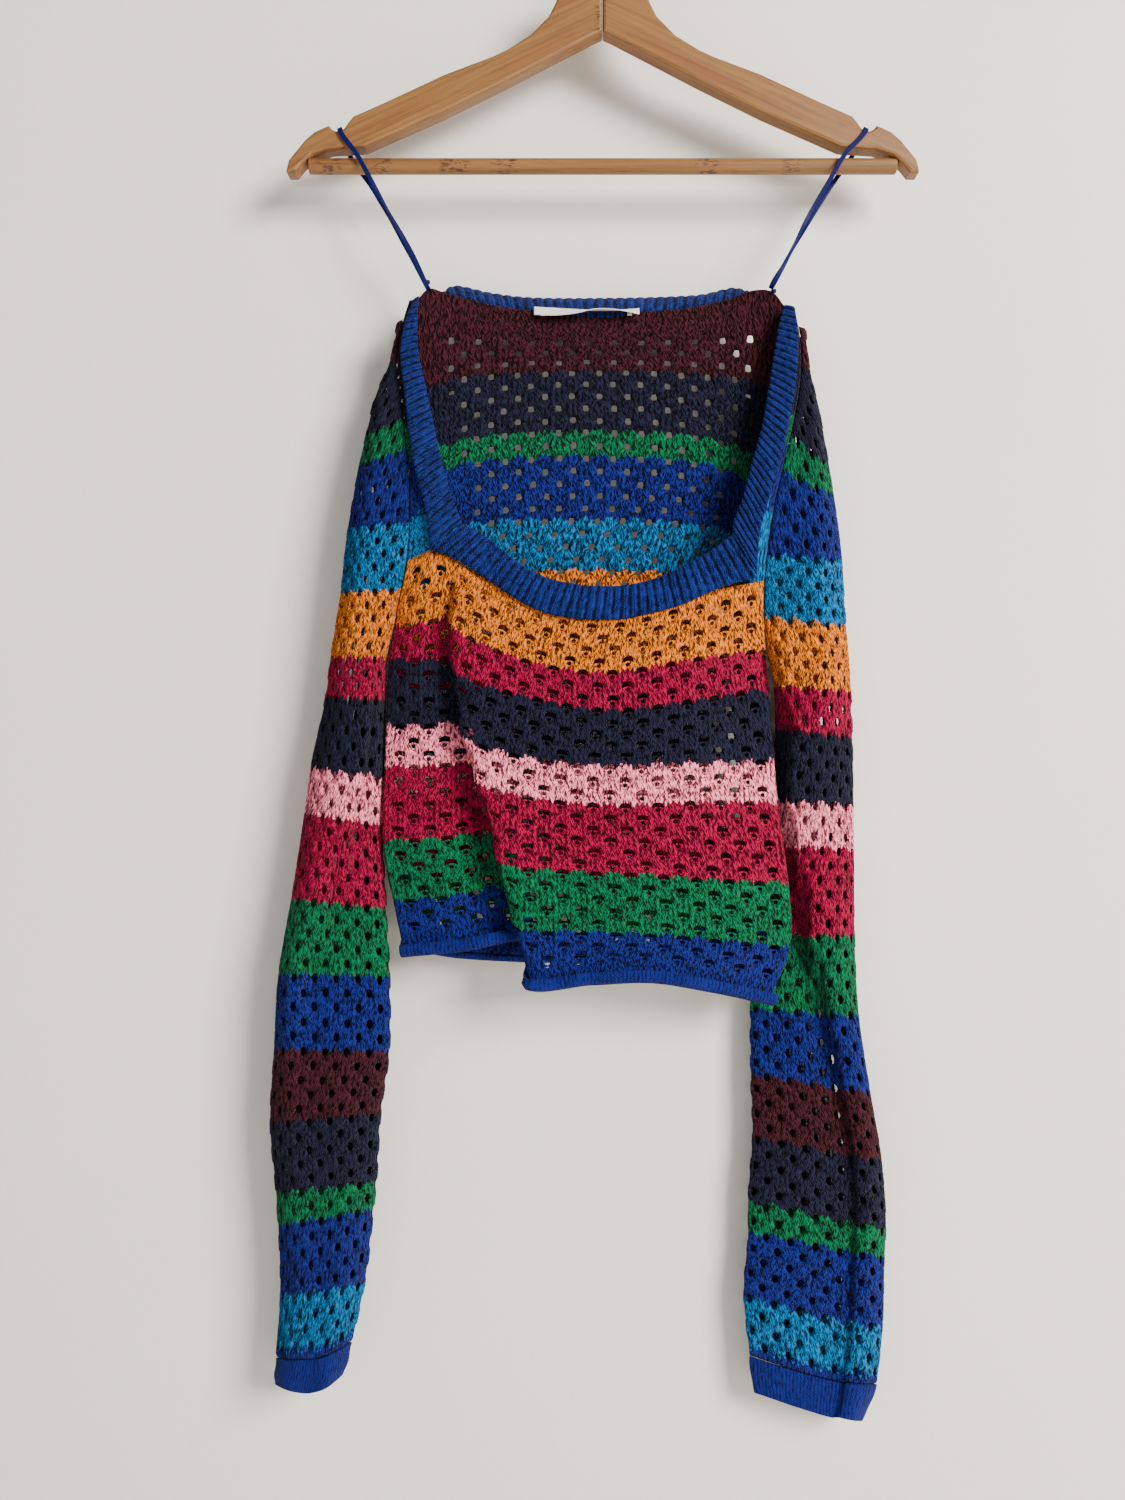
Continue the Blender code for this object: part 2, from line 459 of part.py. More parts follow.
def pull_edge(sheet, rows, last, seam, gap):
    """Rows of a sheet drawn over so that their first or last place lies on the seam."""
    edge = -1 if last else 0
    shift = to_seam(sheet[:rows, edge], seam, gap) - sheet[:rows, edge]
    reach = 6
    for k in range(reach):
        share = (1.0 - k / reach) ** 2
        sheet[:rows, -1 - k if last else k] += share * shift
    return sheet


def collection(name, hidden=False):
    """The named collection, made the first time it is asked for."""
    found = bpy.data.collections.get(name)
    if found is None:
        found = bpy.data.collections.new(name)
        bpy.context.scene.collection.children.link(found)
        found.hide_render = hidden
    return found


def material(name, colour, roughness, metallic=0.0):
    """A plain surface with its own colour."""
    made = bpy.data.materials.new(name)
    made.use_nodes = True
    shader = made.node_tree.nodes["Principled BSDF"]
    shader.inputs["Base Color"].default_value = (*colour, 1.0)
    shader.inputs["Roughness"].default_value = roughness
    shader.inputs["Metallic"].default_value = metallic
    made.diffuse_color = (*colour, 1.0)
    return made


def mesh_object(name, points, faces, surface, smooth=True):
    """An object from places in millimetres and their faces."""
    mesh = bpy.data.meshes.new(name)
    mesh.from_pydata([tuple(float(v) * MM for v in point) for point in points], [], faces)
    mesh.validate()
    mesh.update()
    made = bpy.data.objects.new(name, mesh)
    collection(COLLECTION).objects.link(made)
    made.data.materials.append(surface)
    if smooth:
        mesh.shade_smooth()
    return made


def thicken(made, wall):
    """Give an open sheet its wall, half to each side."""
    solid = made.modifiers.new("wall", "SOLIDIFY")
    solid.thickness = wall * MM
    solid.offset = 0.0
    solid.use_rim = True
    solid.use_quality_normals = True
    return made


def grid_faces(rows, columns, first=0, flip=False):
    """Four-sided faces of a grid numbered row by row."""
    faces = []
    for row in range(rows - 1):
        for column in range(columns - 1):
            a = first + row * columns + column
            face = (a, a + columns, a + columns + 1, a + 1)
            faces.append(face[::-1] if flip else face)
    return faces


def front_sheet():
    """Rows of the front below the neck."""
    count = FRONT_COLUMNS + 1
    levels = [front_level(level, count) for level in FRONT_LEVELS]
    sheet = levels_to_sheet(levels, FRONT_ROWS)
    sheet = pull_edge(sheet, FRONT_ROWS, False, ARMHOLE_FRONT_LEFT, SEAM_GAP)
    return pull_edge(sheet, FRONT_ROWS, True, ARMHOLE_FRONT_RIGHT, -SEAM_GAP)


def strap_rows(table, first, last, inner_on_right):
    """Rows of a strap from the shoulder to just above the neck corner."""
    rows = []
    seam = ARMHOLE_FRONT_LEFT if inner_on_right else ARMHOLE_FRONT_RIGHT
    gap = SEAM_GAP if inner_on_right else -SEAM_GAP
    for edge_x, edge_z, edge_y, band_x, band_z, band_y in table:
        edge = to_seam([place(edge_x, edge_z, edge_y)], seam, gap)[0]
        band = place(band_x, band_z, band_y)
        if inner_on_right:
            rows.append(np.linspace(edge, band, last - first + 1))
        else:
            rows.append(np.linspace(band, edge, last - first + 1))
    return rows


def build_front(surface):
    """Front panel: one sheet with a scooped neck and two straps."""
    sheet = front_sheet()
    rows, columns = sheet.shape[:2]
    points = [tuple(point) for point in sheet.reshape(-1, 3)]
    faces = grid_faces(rows, columns)
    for table, first, last, on_right in ((STRAP_LEFT, 0, 2, True),
                                         (STRAP_RIGHT, columns - 2, columns - 1, False)):
        below = list(range(first, last + 1))
        for strip in reversed(strap_rows(table, first, last, on_right)):
            start = len(points)
            points.extend(tuple(point) for point in strip)
            above = list(range(start, start + len(strip)))
            for k in range(len(above) - 1):
                faces.append((above[k], below[k], below[k + 1], above[k + 1]))
            below = above
    return thicken(mesh_object("front_panel", points, faces, surface), WALL)


def back_sheet():
    """Rows of the back from the neck and shoulders to the hem."""
    count = BACK_COLUMNS + 1
    top = smooth_line([place(*point) for point in BACK_TOP], count)
    levels = [top] + [back_level(level, count) for level in BACK_LEVELS]
    sheet = levels_to_sheet(levels, BACK_ROWS)
    sheet = pull_edge(sheet, BACK_ROWS, False, ARMHOLE_BACK_LEFT, SEAM_GAP)
    return pull_edge(sheet, BACK_ROWS, True, ARMHOLE_BACK_RIGHT, -SEAM_GAP)


def build_back(surface):
    """Back panel: one sheet."""
    sheet = back_sheet()
    rows, columns = sheet.shape[:2]
    faces = grid_faces(rows, columns)
    return thicken(mesh_object("back_panel", sheet.reshape(-1, 3), faces, surface), WALL)


def sleeve_sheet(cap, tube):
    """Rows of a sleeve; the cap rows are open, the tube rows meet at the underarm."""
    count = SLEEVE_COLUMNS + 1
    levels = [cap_level(level, count) for level in cap]
    levels += [tube_level(level, count) for level in tube]
    stack = np.array(levels)
    spread = np.linalg.norm(np.diff(stack, axis=0), axis=2).mean(axis=1)
    stops = np.concatenate([[0.0], np.cumsum(spread)])
    under = stops[len(cap)]
    cap_rows = max(3, round(SLEEVE_ROWS * under / stops[-1]))
    wanted = np.concatenate([
        np.linspace(0.0, under, cap_rows + 1),
        np.linspace(under, stops[-1], SLEEVE_ROWS - cap_rows + 1)[1:],
    ])
    sheet = blend(stops, stack, wanted)
    left = cap[0][1] < 0.0
    front_seam = ARMHOLE_FRONT_LEFT if left else ARMHOLE_FRONT_RIGHT
    back_seam = ARMHOLE_BACK_LEFT if left else ARMHOLE_BACK_RIGHT
    gap = -SEAM_GAP if left else SEAM_GAP
    sheet = pull_edge(sheet, cap_rows, False, front_seam, gap)
    return pull_edge(sheet, cap_rows, True, back_seam, gap), cap_rows


def build_sleeve(name, cap, tube, surface, flip):
    """A sleeve: one sheet, joined to a tube from the underarm down."""
    sheet, cap_rows = sleeve_sheet(cap, tube)
    points = []
    numbers = np.zeros(sheet.shape[:2], int)
    last = sheet.shape[1] - 1
    for row in range(sheet.shape[0]):
        for column in range(last + 1):
            if row >= cap_rows and column == last:
                numbers[row, column] = numbers[row, 0]
                continue
            numbers[row, column] = len(points)
            points.append(tuple(sheet[row, column]))
    faces = []
    for row in range(sheet.shape[0] - 1):
        for column in range(last):
            face = (numbers[row, column], numbers[row + 1, column],
                    numbers[row + 1, column + 1], numbers[row, column + 1])
            face = tuple(int(number) for number in face)
            faces.append(face[::-1] if flip else face)
    return thicken(mesh_object(name, points, faces, surface), WALL)


def build_cuff(name, table, surface, flip):
    """A short plain tube whose lower edge turns out a little."""
    count = SLEEVE_COLUMNS + 1
    sheet = levels_to_sheet([tube_level(level, count) for level in table], 4)[:, :-1]
    rows, columns = sheet.shape[:2]
    faces = []
    for row in range(rows - 1):
        for column in range(columns):
            after = (column + 1) % columns
            face = (row * columns + column, (row + 1) * columns + column,
                    (row + 1) * columns + after, row * columns + after)
            faces.append(face[::-1] if flip else face)
    made = mesh_object(name, sheet.reshape(-1, 3), faces, surface)
    return thicken(made, WALL)


def enclosed(points, faces):
    """Volume inside the faces, below zero when they face inward."""
    places = np.asarray(points, float)
    total = 0.0
    for face in faces:
        for k in range(1, len(face) - 1):
            a, b, c = places[face[0]], places[face[k]], places[face[k + 1]]
            total += np.dot(a, np.cross(b, c)) / 6.0
    return total


def ring_loft(name, rings, surface, closed=False, smooth=True):
    """A closed solid from rings of points, capped at both ends unless it closes on itself."""
    count = len(rings)
    around = len(rings[0])
    points = [tuple(point) for ring in rings for point in ring]
    faces = []
    for ring in range(count if closed else count - 1):
        start = ring * around
        after = ((ring + 1) % count) * around
        for k in range(around):
            m = (k + 1) % around
            faces.append((start + k, start + m, after + m, after + k))
    if not closed:
        faces.append(tuple(range(around))[::-1])
        faces.append(tuple((count - 1) * around + k for k in range(around)))
    if enclosed(points, faces) < 0.0:
        faces = [face[::-1] for face in faces]
    return mesh_object(name, points, faces, surface, smooth)


def unit(vector):
    """The same direction at length one."""
    vector = np.asarray(vector, float)
    return vector / np.maximum(np.linalg.norm(vector, axis=-1, keepdims=True), 1e-9)


def build_band(name, table, ribs, facing, surface):
    """A ribbed strip between an outer and an inner edge, ribs on its face only."""
    stations = 2 * ribs + 1
    outer = smooth_line([place(*row[:3]) for row in table], 400)
    inner = smooth_line([place(*row[3:]) for row in table], 400)
    middle = 0.5 * (outer + inner)
    run = np.concatenate([[0.0], np.cumsum(np.linalg.norm(np.diff(middle, axis=0), axis=1))])
    wanted = np.linspace(0.0, run[-1], stations)
    edges = []
    for line in (outer, inner):
        edges.append(np.column_stack([np.interp(wanted, run, line[:, k]) for k in range(3)]))
    outer, inner = edges
    along = unit(np.gradient(0.5 * (outer + inner), axis=0))
    normal = unit(np.cross(along, inner - outer))
    normal *= np.sign((normal @ np.asarray(facing, float)))[:, None]
    rings = []
    for k in range(stations):
        rib = RIB_HEIGHT * (0.5 if k % 2 else -0.5)
        face = normal[k] * (0.5 * BAND_WALL + rib)
        plain = -normal[k] * 0.5 * BAND_WALL
        swell = normal[k] * 0.7
        centre = 0.5 * (outer[k] + inner[k])
        rings.append([outer[k] + 0.8 * face, centre + face + swell, inner[k] + 0.8 * face,
                      inner[k] + plain, centre + plain + swell, outer[k] + plain])
    return ring_loft(name, rings, surface)


def hem_lines(sheet):
    """Lower edge of a sheet with its downward and outward directions."""
    edge = sheet[-1]
    down = unit(sheet[-1] - sheet[-2])
    along = unit(np.gradient(edge, axis=0))
    out = unit(np.cross(down, along))
    down = unit(np.cross(along, out))
    return edge, along, down, out


def build_hem_roll(name, sheet, outward, surface):
    """The plain edge that continues a panel and rolls to its outer side, pressed flat in a fold."""
    edge, along, down, out = hem_lines(sheet)
    out = out * np.sign(out[:, 1].mean() * outward)
    pressed = np.clip((0.85 - np.abs(along[:, 0])) / 0.4, 0.0, 1.0)
    radii = HEM_ROLL_RADIUS * (1.0 - 0.68 * pressed)
    start = 0.9
    turns = np.linspace(0.0, HEM_ROLL_TURN, 8)
    half = 0.5 * WALL
    rings = []
    for k in range(len(edge)):
        outer_side = []
        inner_side = []
        for turn in turns:
            centre = edge[k] + down[k] * (start + radii[k] * math.sin(turn))
            centre = centre + out[k] * radii[k] * (1.0 - math.cos(turn))
            away = down[k] * math.sin(turn) - out[k] * math.cos(turn)
            outer_side.append(centre + away * half)
            inner_side.append(centre - away * half)
        rings.append(outer_side + inner_side[::-1])
    return ring_loft(name, rings, surface)


def build_label(surface):
    """Bare white strip tacked at its ends under the back neck band."""
    upper = smooth_line([place(x, z, y) for x, z, y, _, _ in LABEL_LEVELS], 15)
    lower = smooth_line([place(x, z, y) for x, _, _, z, y in LABEL_LEVELS], 15)
    rings = []
    for top, bottom in zip(upper, lower):
        across = unit(bottom - top)
        normal = unit(np.cross([1.0, 0.0, 0.0], across)) * 0.5 * LABEL_WALL
        rings.append([top + normal, bottom + normal, bottom - normal, top - normal])
    return ring_loft("neck_label", rings, surface)


def build_ribbon(name, table, width_way, surface):
    """A satin loop: down from the shoulder seam it goes over the arm and back."""
    line = smooth_line([place(*row) for row in table], 57, closed=True)[:-1]
    along = unit(np.roll(line, -1, axis=0) - np.roll(line, 1, axis=0))
    wide = unit(np.asarray(width_way, float))
    rings = []
    for point, way in zip(line, along):
        side = unit(wide - way * np.dot(wide, way)) * 0.5 * RIBBON_WIDTH
        normal = unit(np.cross(way, side)) * 0.5 * RIBBON_WALL
        rings.append([point + side + normal, point - side + normal,
                      point - side - normal, point + side - normal])
    return ring_loft(name, rings, surface, closed=True)


def inset(outline, amount):
    """The outline moved inward by a fixed amount."""
    points = np.asarray(outline, float)
    before = unit(points - np.roll(points, 1, axis=0))
    following = np.roll(points, -1, axis=0)
    after = unit(following - points)
    area = 0.5 * np.sum(points[:, 0] * following[:, 1] - following[:, 0] * points[:, 1])
    turn = 1.0 if area > 0 else -1.0
    left_before = np.column_stack([-before[:, 1], before[:, 0]]) * turn
    left_after = np.column_stack([-after[:, 1], after[:, 0]]) * turn
    mitre = unit(left_before + left_after)
    reach = 1.0 / np.clip(np.sum(mitre * left_before, axis=1), 0.6, 1.0)
    return points + mitre * (amount * reach)[:, None]


def arm_outline():
    """Real outline of the left arm in the plane of the hanger."""
    half = 0.5 * ARM_DEPTH
    upper = [place(x, z, -half)[[0, 2]] for x, z in ARM_UPPER]
    lower = [place(x, z, half)[[0, 2]] for x, z in ARM_LOWER]
    outline = np.array(upper + lower)
    outline[0, 0] = -0.5 * JOINT_GAP
    outline[-1, 0] = -0.5 * JOINT_GAP
    return outline


def cutter(name, start, finish, radius):
    """A round cutter between two places."""
    start = np.asarray(start, float)
    finish = np.asarray(finish, float)
    length = np.linalg.norm(finish - start)
    bpy.ops.mesh.primitive_cylinder_add(vertices=28, radius=radius * MM, depth=length * MM)
    made = bpy.context.object
    made.name = name
    way = unit(finish - start)
    if abs(way[0]) > 0.9:
        made.rotation_euler = (0.0, math.pi / 2.0, 0.0)
    made.location = tuple(0.5 * (start + finish) * MM)
    for owner in list(made.users_collection):
        owner.objects.unlink(made)
    collection("cutters", hidden=True).objects.link(made)
    made.display_type = "WIRE"
    made.hide_render = True
    return made


def cut(made, tool):
    """Take the cutter's shape away."""
    boolean = made.modifiers.new("cut " + tool.name, "BOOLEAN")
    boolean.operation = "DIFFERENCE"
    boolean.solver = "EXACT"
    boolean.object = tool


def close_up(mesh):
    """Join the caps to the sides and turn every face outward."""
    work = bmesh.new()
    work.from_mesh(mesh)
    bmesh.ops.remove_doubles(work, verts=work.verts, dist=0.00002)
    bmesh.ops.recalc_face_normals(work, faces=work.faces)
    if work.calc_volume(signed=True) < 0.0:
        bmesh.ops.reverse_faces(work, faces=work.faces)
    work.to_mesh(mesh)
    work.free()
    mesh.update()


def build_arm(name, mirrored, surface, bar_cut, stem_cut):
    """One arm of the hanger, cut for the bar and for the hook's stem."""
    outline = arm_outline()
    half = 0.5 * ARM_DEPTH
    rings = []
    for depth, shrink in ((-half, 1.0), (-half + 0.3 * ARM_EDGE, 0.3), (-half + ARM_EDGE, 0.0),
                          (half - ARM_EDGE, 0.0), (half - 0.3 * ARM_EDGE, 0.3), (half, 1.0)):
        ring = inset(outline, shrink * ARM_EDGE)
        if mirrored:
            ring = ring * np.array([-1.0, 1.0])
        rings.append([(x, depth, z) for x, z in ring])
    made = ring_loft(name, rings, surface, smooth=False)
    cut(made, bar_cut)
    cut(made, stem_cut)
    return made


def build_bar(surface):
    """The round bar between the arms."""
    length = 2.0 * BAR_HALF_LENGTH
    bpy.ops.mesh.primitive_cylinder_add(vertices=28, radius=BAR_RADIUS * MM, depth=length * MM)
    made = bpy.context.object
    made.name = "hanger_bar"
    made.data.name = "hanger_bar"
    made.rotation_euler = (0.0, math.pi / 2.0, 0.0)
    made.location = (0.0, 0.0, BAR_Z * MM)
    for owner in list(made.users_collection):
        owner.objects.unlink(made)
    collection(COLLECTION).objects.link(made)
    made.data.materials.append(surface)
    edge = made.modifiers.new("edge", "BEVEL")
    edge.width = 0.6 * MM
    edge.segments = 1
    edge.limit_method = "ANGLE"
    made.data.shade_smooth()
    return made


def build_hook(surface):
    """Wire hook: a stem in the head, then a turn over the rail and a short end."""
    radius = HOOK_INSIDE_RADIUS + WIRE_RADIUS
    centre_z = WIRE_RADIUS - radius
    line = [(0.0, -71.0), (0.0, -62.0), (0.0, -52.0), (0.6, -46.5), (3.6, -42.0), (8.6, -37.4)]
    for degrees in range(-48, 214, 12):
        angle = math.radians(degrees)
        line.append((radius * math.cos(angle), centre_z + radius * math.sin(angle)))
    curve = bpy.data.curves.new("hanger_hook", "CURVE")
    curve.dimensions = "3D"
    curve.bevel_depth = WIRE_RADIUS * MM
    curve.bevel_resolution = 2
    curve.use_fill_caps = True
    path = curve.splines.new("POLY")
    path.points.add(len(line) - 1)
    for point, (x, z) in zip(path.points, line):
        point.co = (x * MM, 0.0, z * MM, 1.0)
    made = bpy.data.objects.new("hanger_hook", curve)
    collection(COLLECTION).objects.link(made)
    graph = bpy.context.evaluated_depsgraph_get()
    mesh = bpy.data.meshes.new_from_object(made.evaluated_get(graph))
    bpy.data.objects.remove(made, do_unlink=True)
    made = bpy.data.objects.new("hanger_hook", mesh)
    collection(COLLECTION).objects.link(made)
    mesh.materials.clear()
    mesh.materials.append(surface)
    close_up(mesh)
    mesh.shade_smooth()
    return made


def build_cloth():
    """Every piece of the garment."""
    build_front(material("lace_front", (0.75, 0.01, 0.07), 0.9))
    build_back(material("lace_back", (0.02, 0.03, 0.12), 0.9))
    left_lace = material("lace_sleeve_left", (0.02, 0.22, 0.43), 0.9)
    right_lace = material("lace_sleeve_right", (0.02, 0.21, 0.08), 0.9)
    build_sleeve("sleeve_left", CAP_LEFT, TUBE_LEFT, left_lace, True)
    build_sleeve("sleeve_right", CAP_RIGHT, TUBE_RIGHT, right_lace, False)
    build_cuff("cuff_left", CUFF_LEFT, material("knit_cuff_left", (0.02, 0.05, 0.3), 0.9), True)
    build_cuff("cuff_right", CUFF_RIGHT, material("knit_cuff_right", (0.02, 0.05, 0.3), 0.9), False)
    toward = (0.0, -1.0, 0.0)
    for side, table, ribs in (("front", BAND_FRONT, RIBS_FRONT), ("left", BAND_LEFT, RIBS_LEFT),
                              ("right", BAND_RIGHT, RIBS_RIGHT), ("back", BAND_BACK, RIBS_BACK)):
        rib_knit = material("rib_" + side, (0.02, 0.04, 0.28), 0.9)
        build_band("neckband_" + side, table, ribs, toward, rib_knit)
    front_roll = material("roll_front", (0.02, 0.05, 0.32), 0.9)
    back_roll = material("roll_back", (0.02, 0.05, 0.33), 0.9)
    build_hem_roll("hem_roll_front", front_sheet(), -1.0, front_roll)
    build_hem_roll("hem_roll_back", back_sheet(), 1.0, back_roll)
    build_label(material("label_cloth", (0.8, 0.8, 0.78), 0.7))
    left_satin = material("satin_left", (0.01, 0.02, 0.16), 0.35)
    right_satin = material("satin_right", (0.01, 0.02, 0.16), 0.35)
    build_ribbon("ribbon_left", LOOP_LEFT, (0.88, 0.0, 0.47), left_satin)
    build_ribbon("ribbon_right", LOOP_RIGHT, (0.88, 0.0, -0.47), right_satin)


def build_hanger():
    """The arms, the bar and the hook."""
    bar_start = (-BAR_HALF_LENGTH - 1.0, 0.0, BAR_Z)
    bar_end = (BAR_HALF_LENGTH + 1.0, 0.0, BAR_Z)
    bar_cut = cutter("bar_socket", bar_start, bar_end, BAR_RADIUS + SOCKET_CLEAR)
    stem_cut = cutter("stem_socket", (0.0, 0.0, -72.0), (0.0, 0.0, -40.0), WIRE_RADIUS + SOCKET_CLEAR)
    build_arm("hanger_arm_left", False, material("beech_left", (0.46, 0.24, 0.09), 0.5), bar_cut, stem_cut)
    build_arm("hanger_arm_right", True, material("beech_right", (0.47, 0.25, 0.1), 0.5), bar_cut, stem_cut)
    build_bar(material("beech_bar", (0.5, 0.27, 0.11), 0.5))
    build_hook(material("hook_wire", (0.6, 0.6, 0.62), 0.3, 1.0))


def main():
    """Build every piece."""
    for old in list(bpy.data.objects):
        bpy.data.objects.remove(old, do_unlink=True)
    build_cloth()
    build_hanger()
    print("built", len(collection(COLLECTION).objects), "pieces")


main()
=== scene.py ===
"""Striped lace sweater hung by two ribbon loops from a beech hanger: the looks.

Tables are in millimetres, as places look in the plane of the hanger from
EYE_DISTANCE in front, each with its own depth; place() turns them into real
places. Meshes are made in metres. +X runs right, +Y into the wall, +Z up.
"""
import logging
import math
from collections.abc import Iterable, Sequence
from dataclasses import dataclass, replace
from enum import Enum

import bpy
import numpy as np
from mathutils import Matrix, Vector


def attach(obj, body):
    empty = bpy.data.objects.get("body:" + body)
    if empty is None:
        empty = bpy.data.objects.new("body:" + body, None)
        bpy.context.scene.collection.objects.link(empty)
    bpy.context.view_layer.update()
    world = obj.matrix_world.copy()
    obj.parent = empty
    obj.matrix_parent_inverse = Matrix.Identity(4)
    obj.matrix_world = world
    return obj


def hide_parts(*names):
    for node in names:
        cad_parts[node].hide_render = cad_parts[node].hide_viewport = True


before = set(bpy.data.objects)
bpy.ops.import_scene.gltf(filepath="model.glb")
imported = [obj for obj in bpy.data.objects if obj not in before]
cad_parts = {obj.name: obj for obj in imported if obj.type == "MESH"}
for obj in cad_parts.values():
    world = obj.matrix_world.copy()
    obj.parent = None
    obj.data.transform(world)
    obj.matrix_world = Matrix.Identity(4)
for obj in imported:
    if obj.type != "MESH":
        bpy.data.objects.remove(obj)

LOG = logging.getLogger("sweater")
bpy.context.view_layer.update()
BODY = "root"
MM = 0.001
EYE_DISTANCE = 780.0
EYE_X = -27.7
EYE_Z = -599.3
SEAM_GAP = 0.4
HALF_WALL = 0.8
KNIT_MAP = "knit"
TURN = 2.0 * math.pi

# settings that many nodes share; the held ones keep their result between 0 and 1
PLUS = {"operation": "ADD"}
TIMES = {"operation": "MULTIPLY"}
TIMES_PLUS = {"operation": "MULTIPLY_ADD"}
HELD_PLUS = {**PLUS, "use_clamp": True}
HELD_TIMES_PLUS = {**TIMES_PLUS, "use_clamp": True}
COLOURS = {"data_type": "RGBA"}
TINT = {**COLOURS, "blend_type": "MULTIPLY"}

# front panel, one line a level: name, left edge x z, valley x z, ridge x z,
# three heights between ridge and right edge, right edge x z,
# depths at left edge, left pleat, valley, ridge, middle, right quarter, right edge
FRONT_LEVELS = [
    ("neck", -134.0, -468.0, -121.0, -461.0, -116.0, -460.5,
     -491.0, -505.0, -493.0, 112.0, -482.0, -10.5, -12.5, -15.5, -17.2, -20.5, -19.5, -10.0),
    ("orange to magenta", -143.5, -513.0, -107.0, -508.0, -103.0, -515.0,
     -538.0, -545.0, -537.0, 110.0, -529.0, -1.4, -11.0, -12.0, -23.0, -26.0, -22.0, -2.6),
    ("magenta to navy", -147.5, -535.0, -105.0, -536.0, -101.0, -546.0,
     -563.0, -571.0, -565.0, 113.0, -556.0, -1.4, -11.0, -10.0, -24.0, -26.0, -22.0, -1.4),
    ("navy to pink", -150.0, -582.0, -92.0, -580.0, -96.5, -590.0,
     -606.0, -610.0, -608.0, 119.0, -606.0, -1.4, -11.0, -8.0, -25.0, -25.0, -21.0, -1.4),
    ("pink to magenta", -151.0, -610.0, -81.0, -608.0, -87.0, -621.0,
     -634.0, -637.0, -635.0, 121.0, -635.0, -1.4, -10.0, -7.0, -25.0, -25.0, -20.0, -1.4),
    ("magenta to green", -152.5, -662.0, -66.0, -656.0, -72.5, -676.0,
     -683.0, -685.0, -689.0, 129.0, -691.0, -1.4, -9.0, -6.0, -25.0, -24.0, -18.0, -1.4),
    ("green to blue", -145.0, -704.0, -54.0, -694.0, -60.5, -721.0,
     -725.0, -727.0, -731.0, 130.0, -736.0, -1.4, -8.0, -5.5, -25.0, -23.0, -17.0, -1.4),
    ("hem", -138.5, -736.0, -46.5, -726.0, -50.5, -757.0,
     -755.0, -753.5, -760.0, 117.5, -769.0, -1.4, -7.0, -6.0, -24.0, -22.0, -16.0, -1.4),
]

# front straps beside the neck: armhole edge x z depth, band edge x z depth
STRAP_LEFT = [
    (-133.5, -288.5, -1.6, -129.5, -288.0, -2.4),
    (-137.5, -302.0, -2.6, -133.0, -302.0, -4.2),
    (-142.0, -325.0, -4.0, -136.0, -325.0, -6.6),
    (-139.5, -350.0, -6.5, -132.5, -350.0, -9.6),
    (-136.5, -371.0, -8.5, -130.0, -371.0, -11.8),
    (-134.0, -395.0, -10.0, -127.0, -396.0, -13.8),
    (-133.2, -428.0, -11.0, -120.5, -428.0, -15.4),
]
STRAP_RIGHT = [
    (133.0, -293.5, -1.6, 129.0, -293.0, -2.4),
    (137.5, -320.0, -3.6, 131.0, -320.0, -6.2),
    (136.5, -346.0, -6.5, 129.0, -346.0, -9.2),
    (130.5, -379.0, -9.5, 123.5, -379.0, -12.2),
    (124.5, -404.0, -10.8, 117.0, -404.0, -14.0),
    (118.0, -432.0, -11.5, 109.0, -432.0, -15.5),
    (113.8, -460.0, -11.4, 104.5, -460.0, -16.6),
]

# armhole seams from the shoulder to the underarm: x z depth
ARMHOLE_FRONT_LEFT = [
    (-133.8, -288.5, -1.6), (-137.9, -302.0, -2.8), (-142.2, -326.0, -4.1), (-139.7, -349.0, -6.5),
    (-136.9, -370.0, -8.5), (-134.4, -393.0, -10.0), (-133.6, -434.0, -11.0), (-134.4, -461.0, -10.5),
    (-139.0, -487.0, -6.0), (-143.0, -505.0, -1.2),
]
ARMHOLE_BACK_LEFT = [
    (-128.3, -287.3, 2.6), (-131.0, -320.0, 5.2), (-130.8, -339.0, 6.0), (-129.6, -350.0, 6.4),
    (-124.8, -380.0, 7.0), (-120.5, -400.0, 7.2), (-117.5, -430.0, 7.2), (-120.5, -455.0, 6.6),
    (-130.5, -483.0, 4.2), (-143.0, -505.0, 1.2),
]
ARMHOLE_FRONT_RIGHT = [
    (133.2, -293.7, -1.6), (137.5, -325.0, -4.2), (136.2, -350.0, -6.9), (130.7, -379.0, -9.5),
    (124.7, -404.0, -10.8), (118.0, -434.0, -11.4), (114.0, -461.0, -11.3), (111.9, -490.0, -9.5),
    (112.3, -513.0, -5.4), (114.3, -530.0, -1.2),
]
ARMHOLE_BACK_RIGHT = [
    (126.4, -292.2, 2.6), (127.8, -318.0, 5.2), (127.3, -338.0, 6.0), (124.2, -358.0, 6.9),
    (119.4, -382.0, 7.5), (113.3, -403.0, 8.0), (105.6, -448.0, 8.4), (106.4, -486.0, 7.4),
    (110.0, -514.0, 4.0), (114.3, -530.0, 1.2),
]

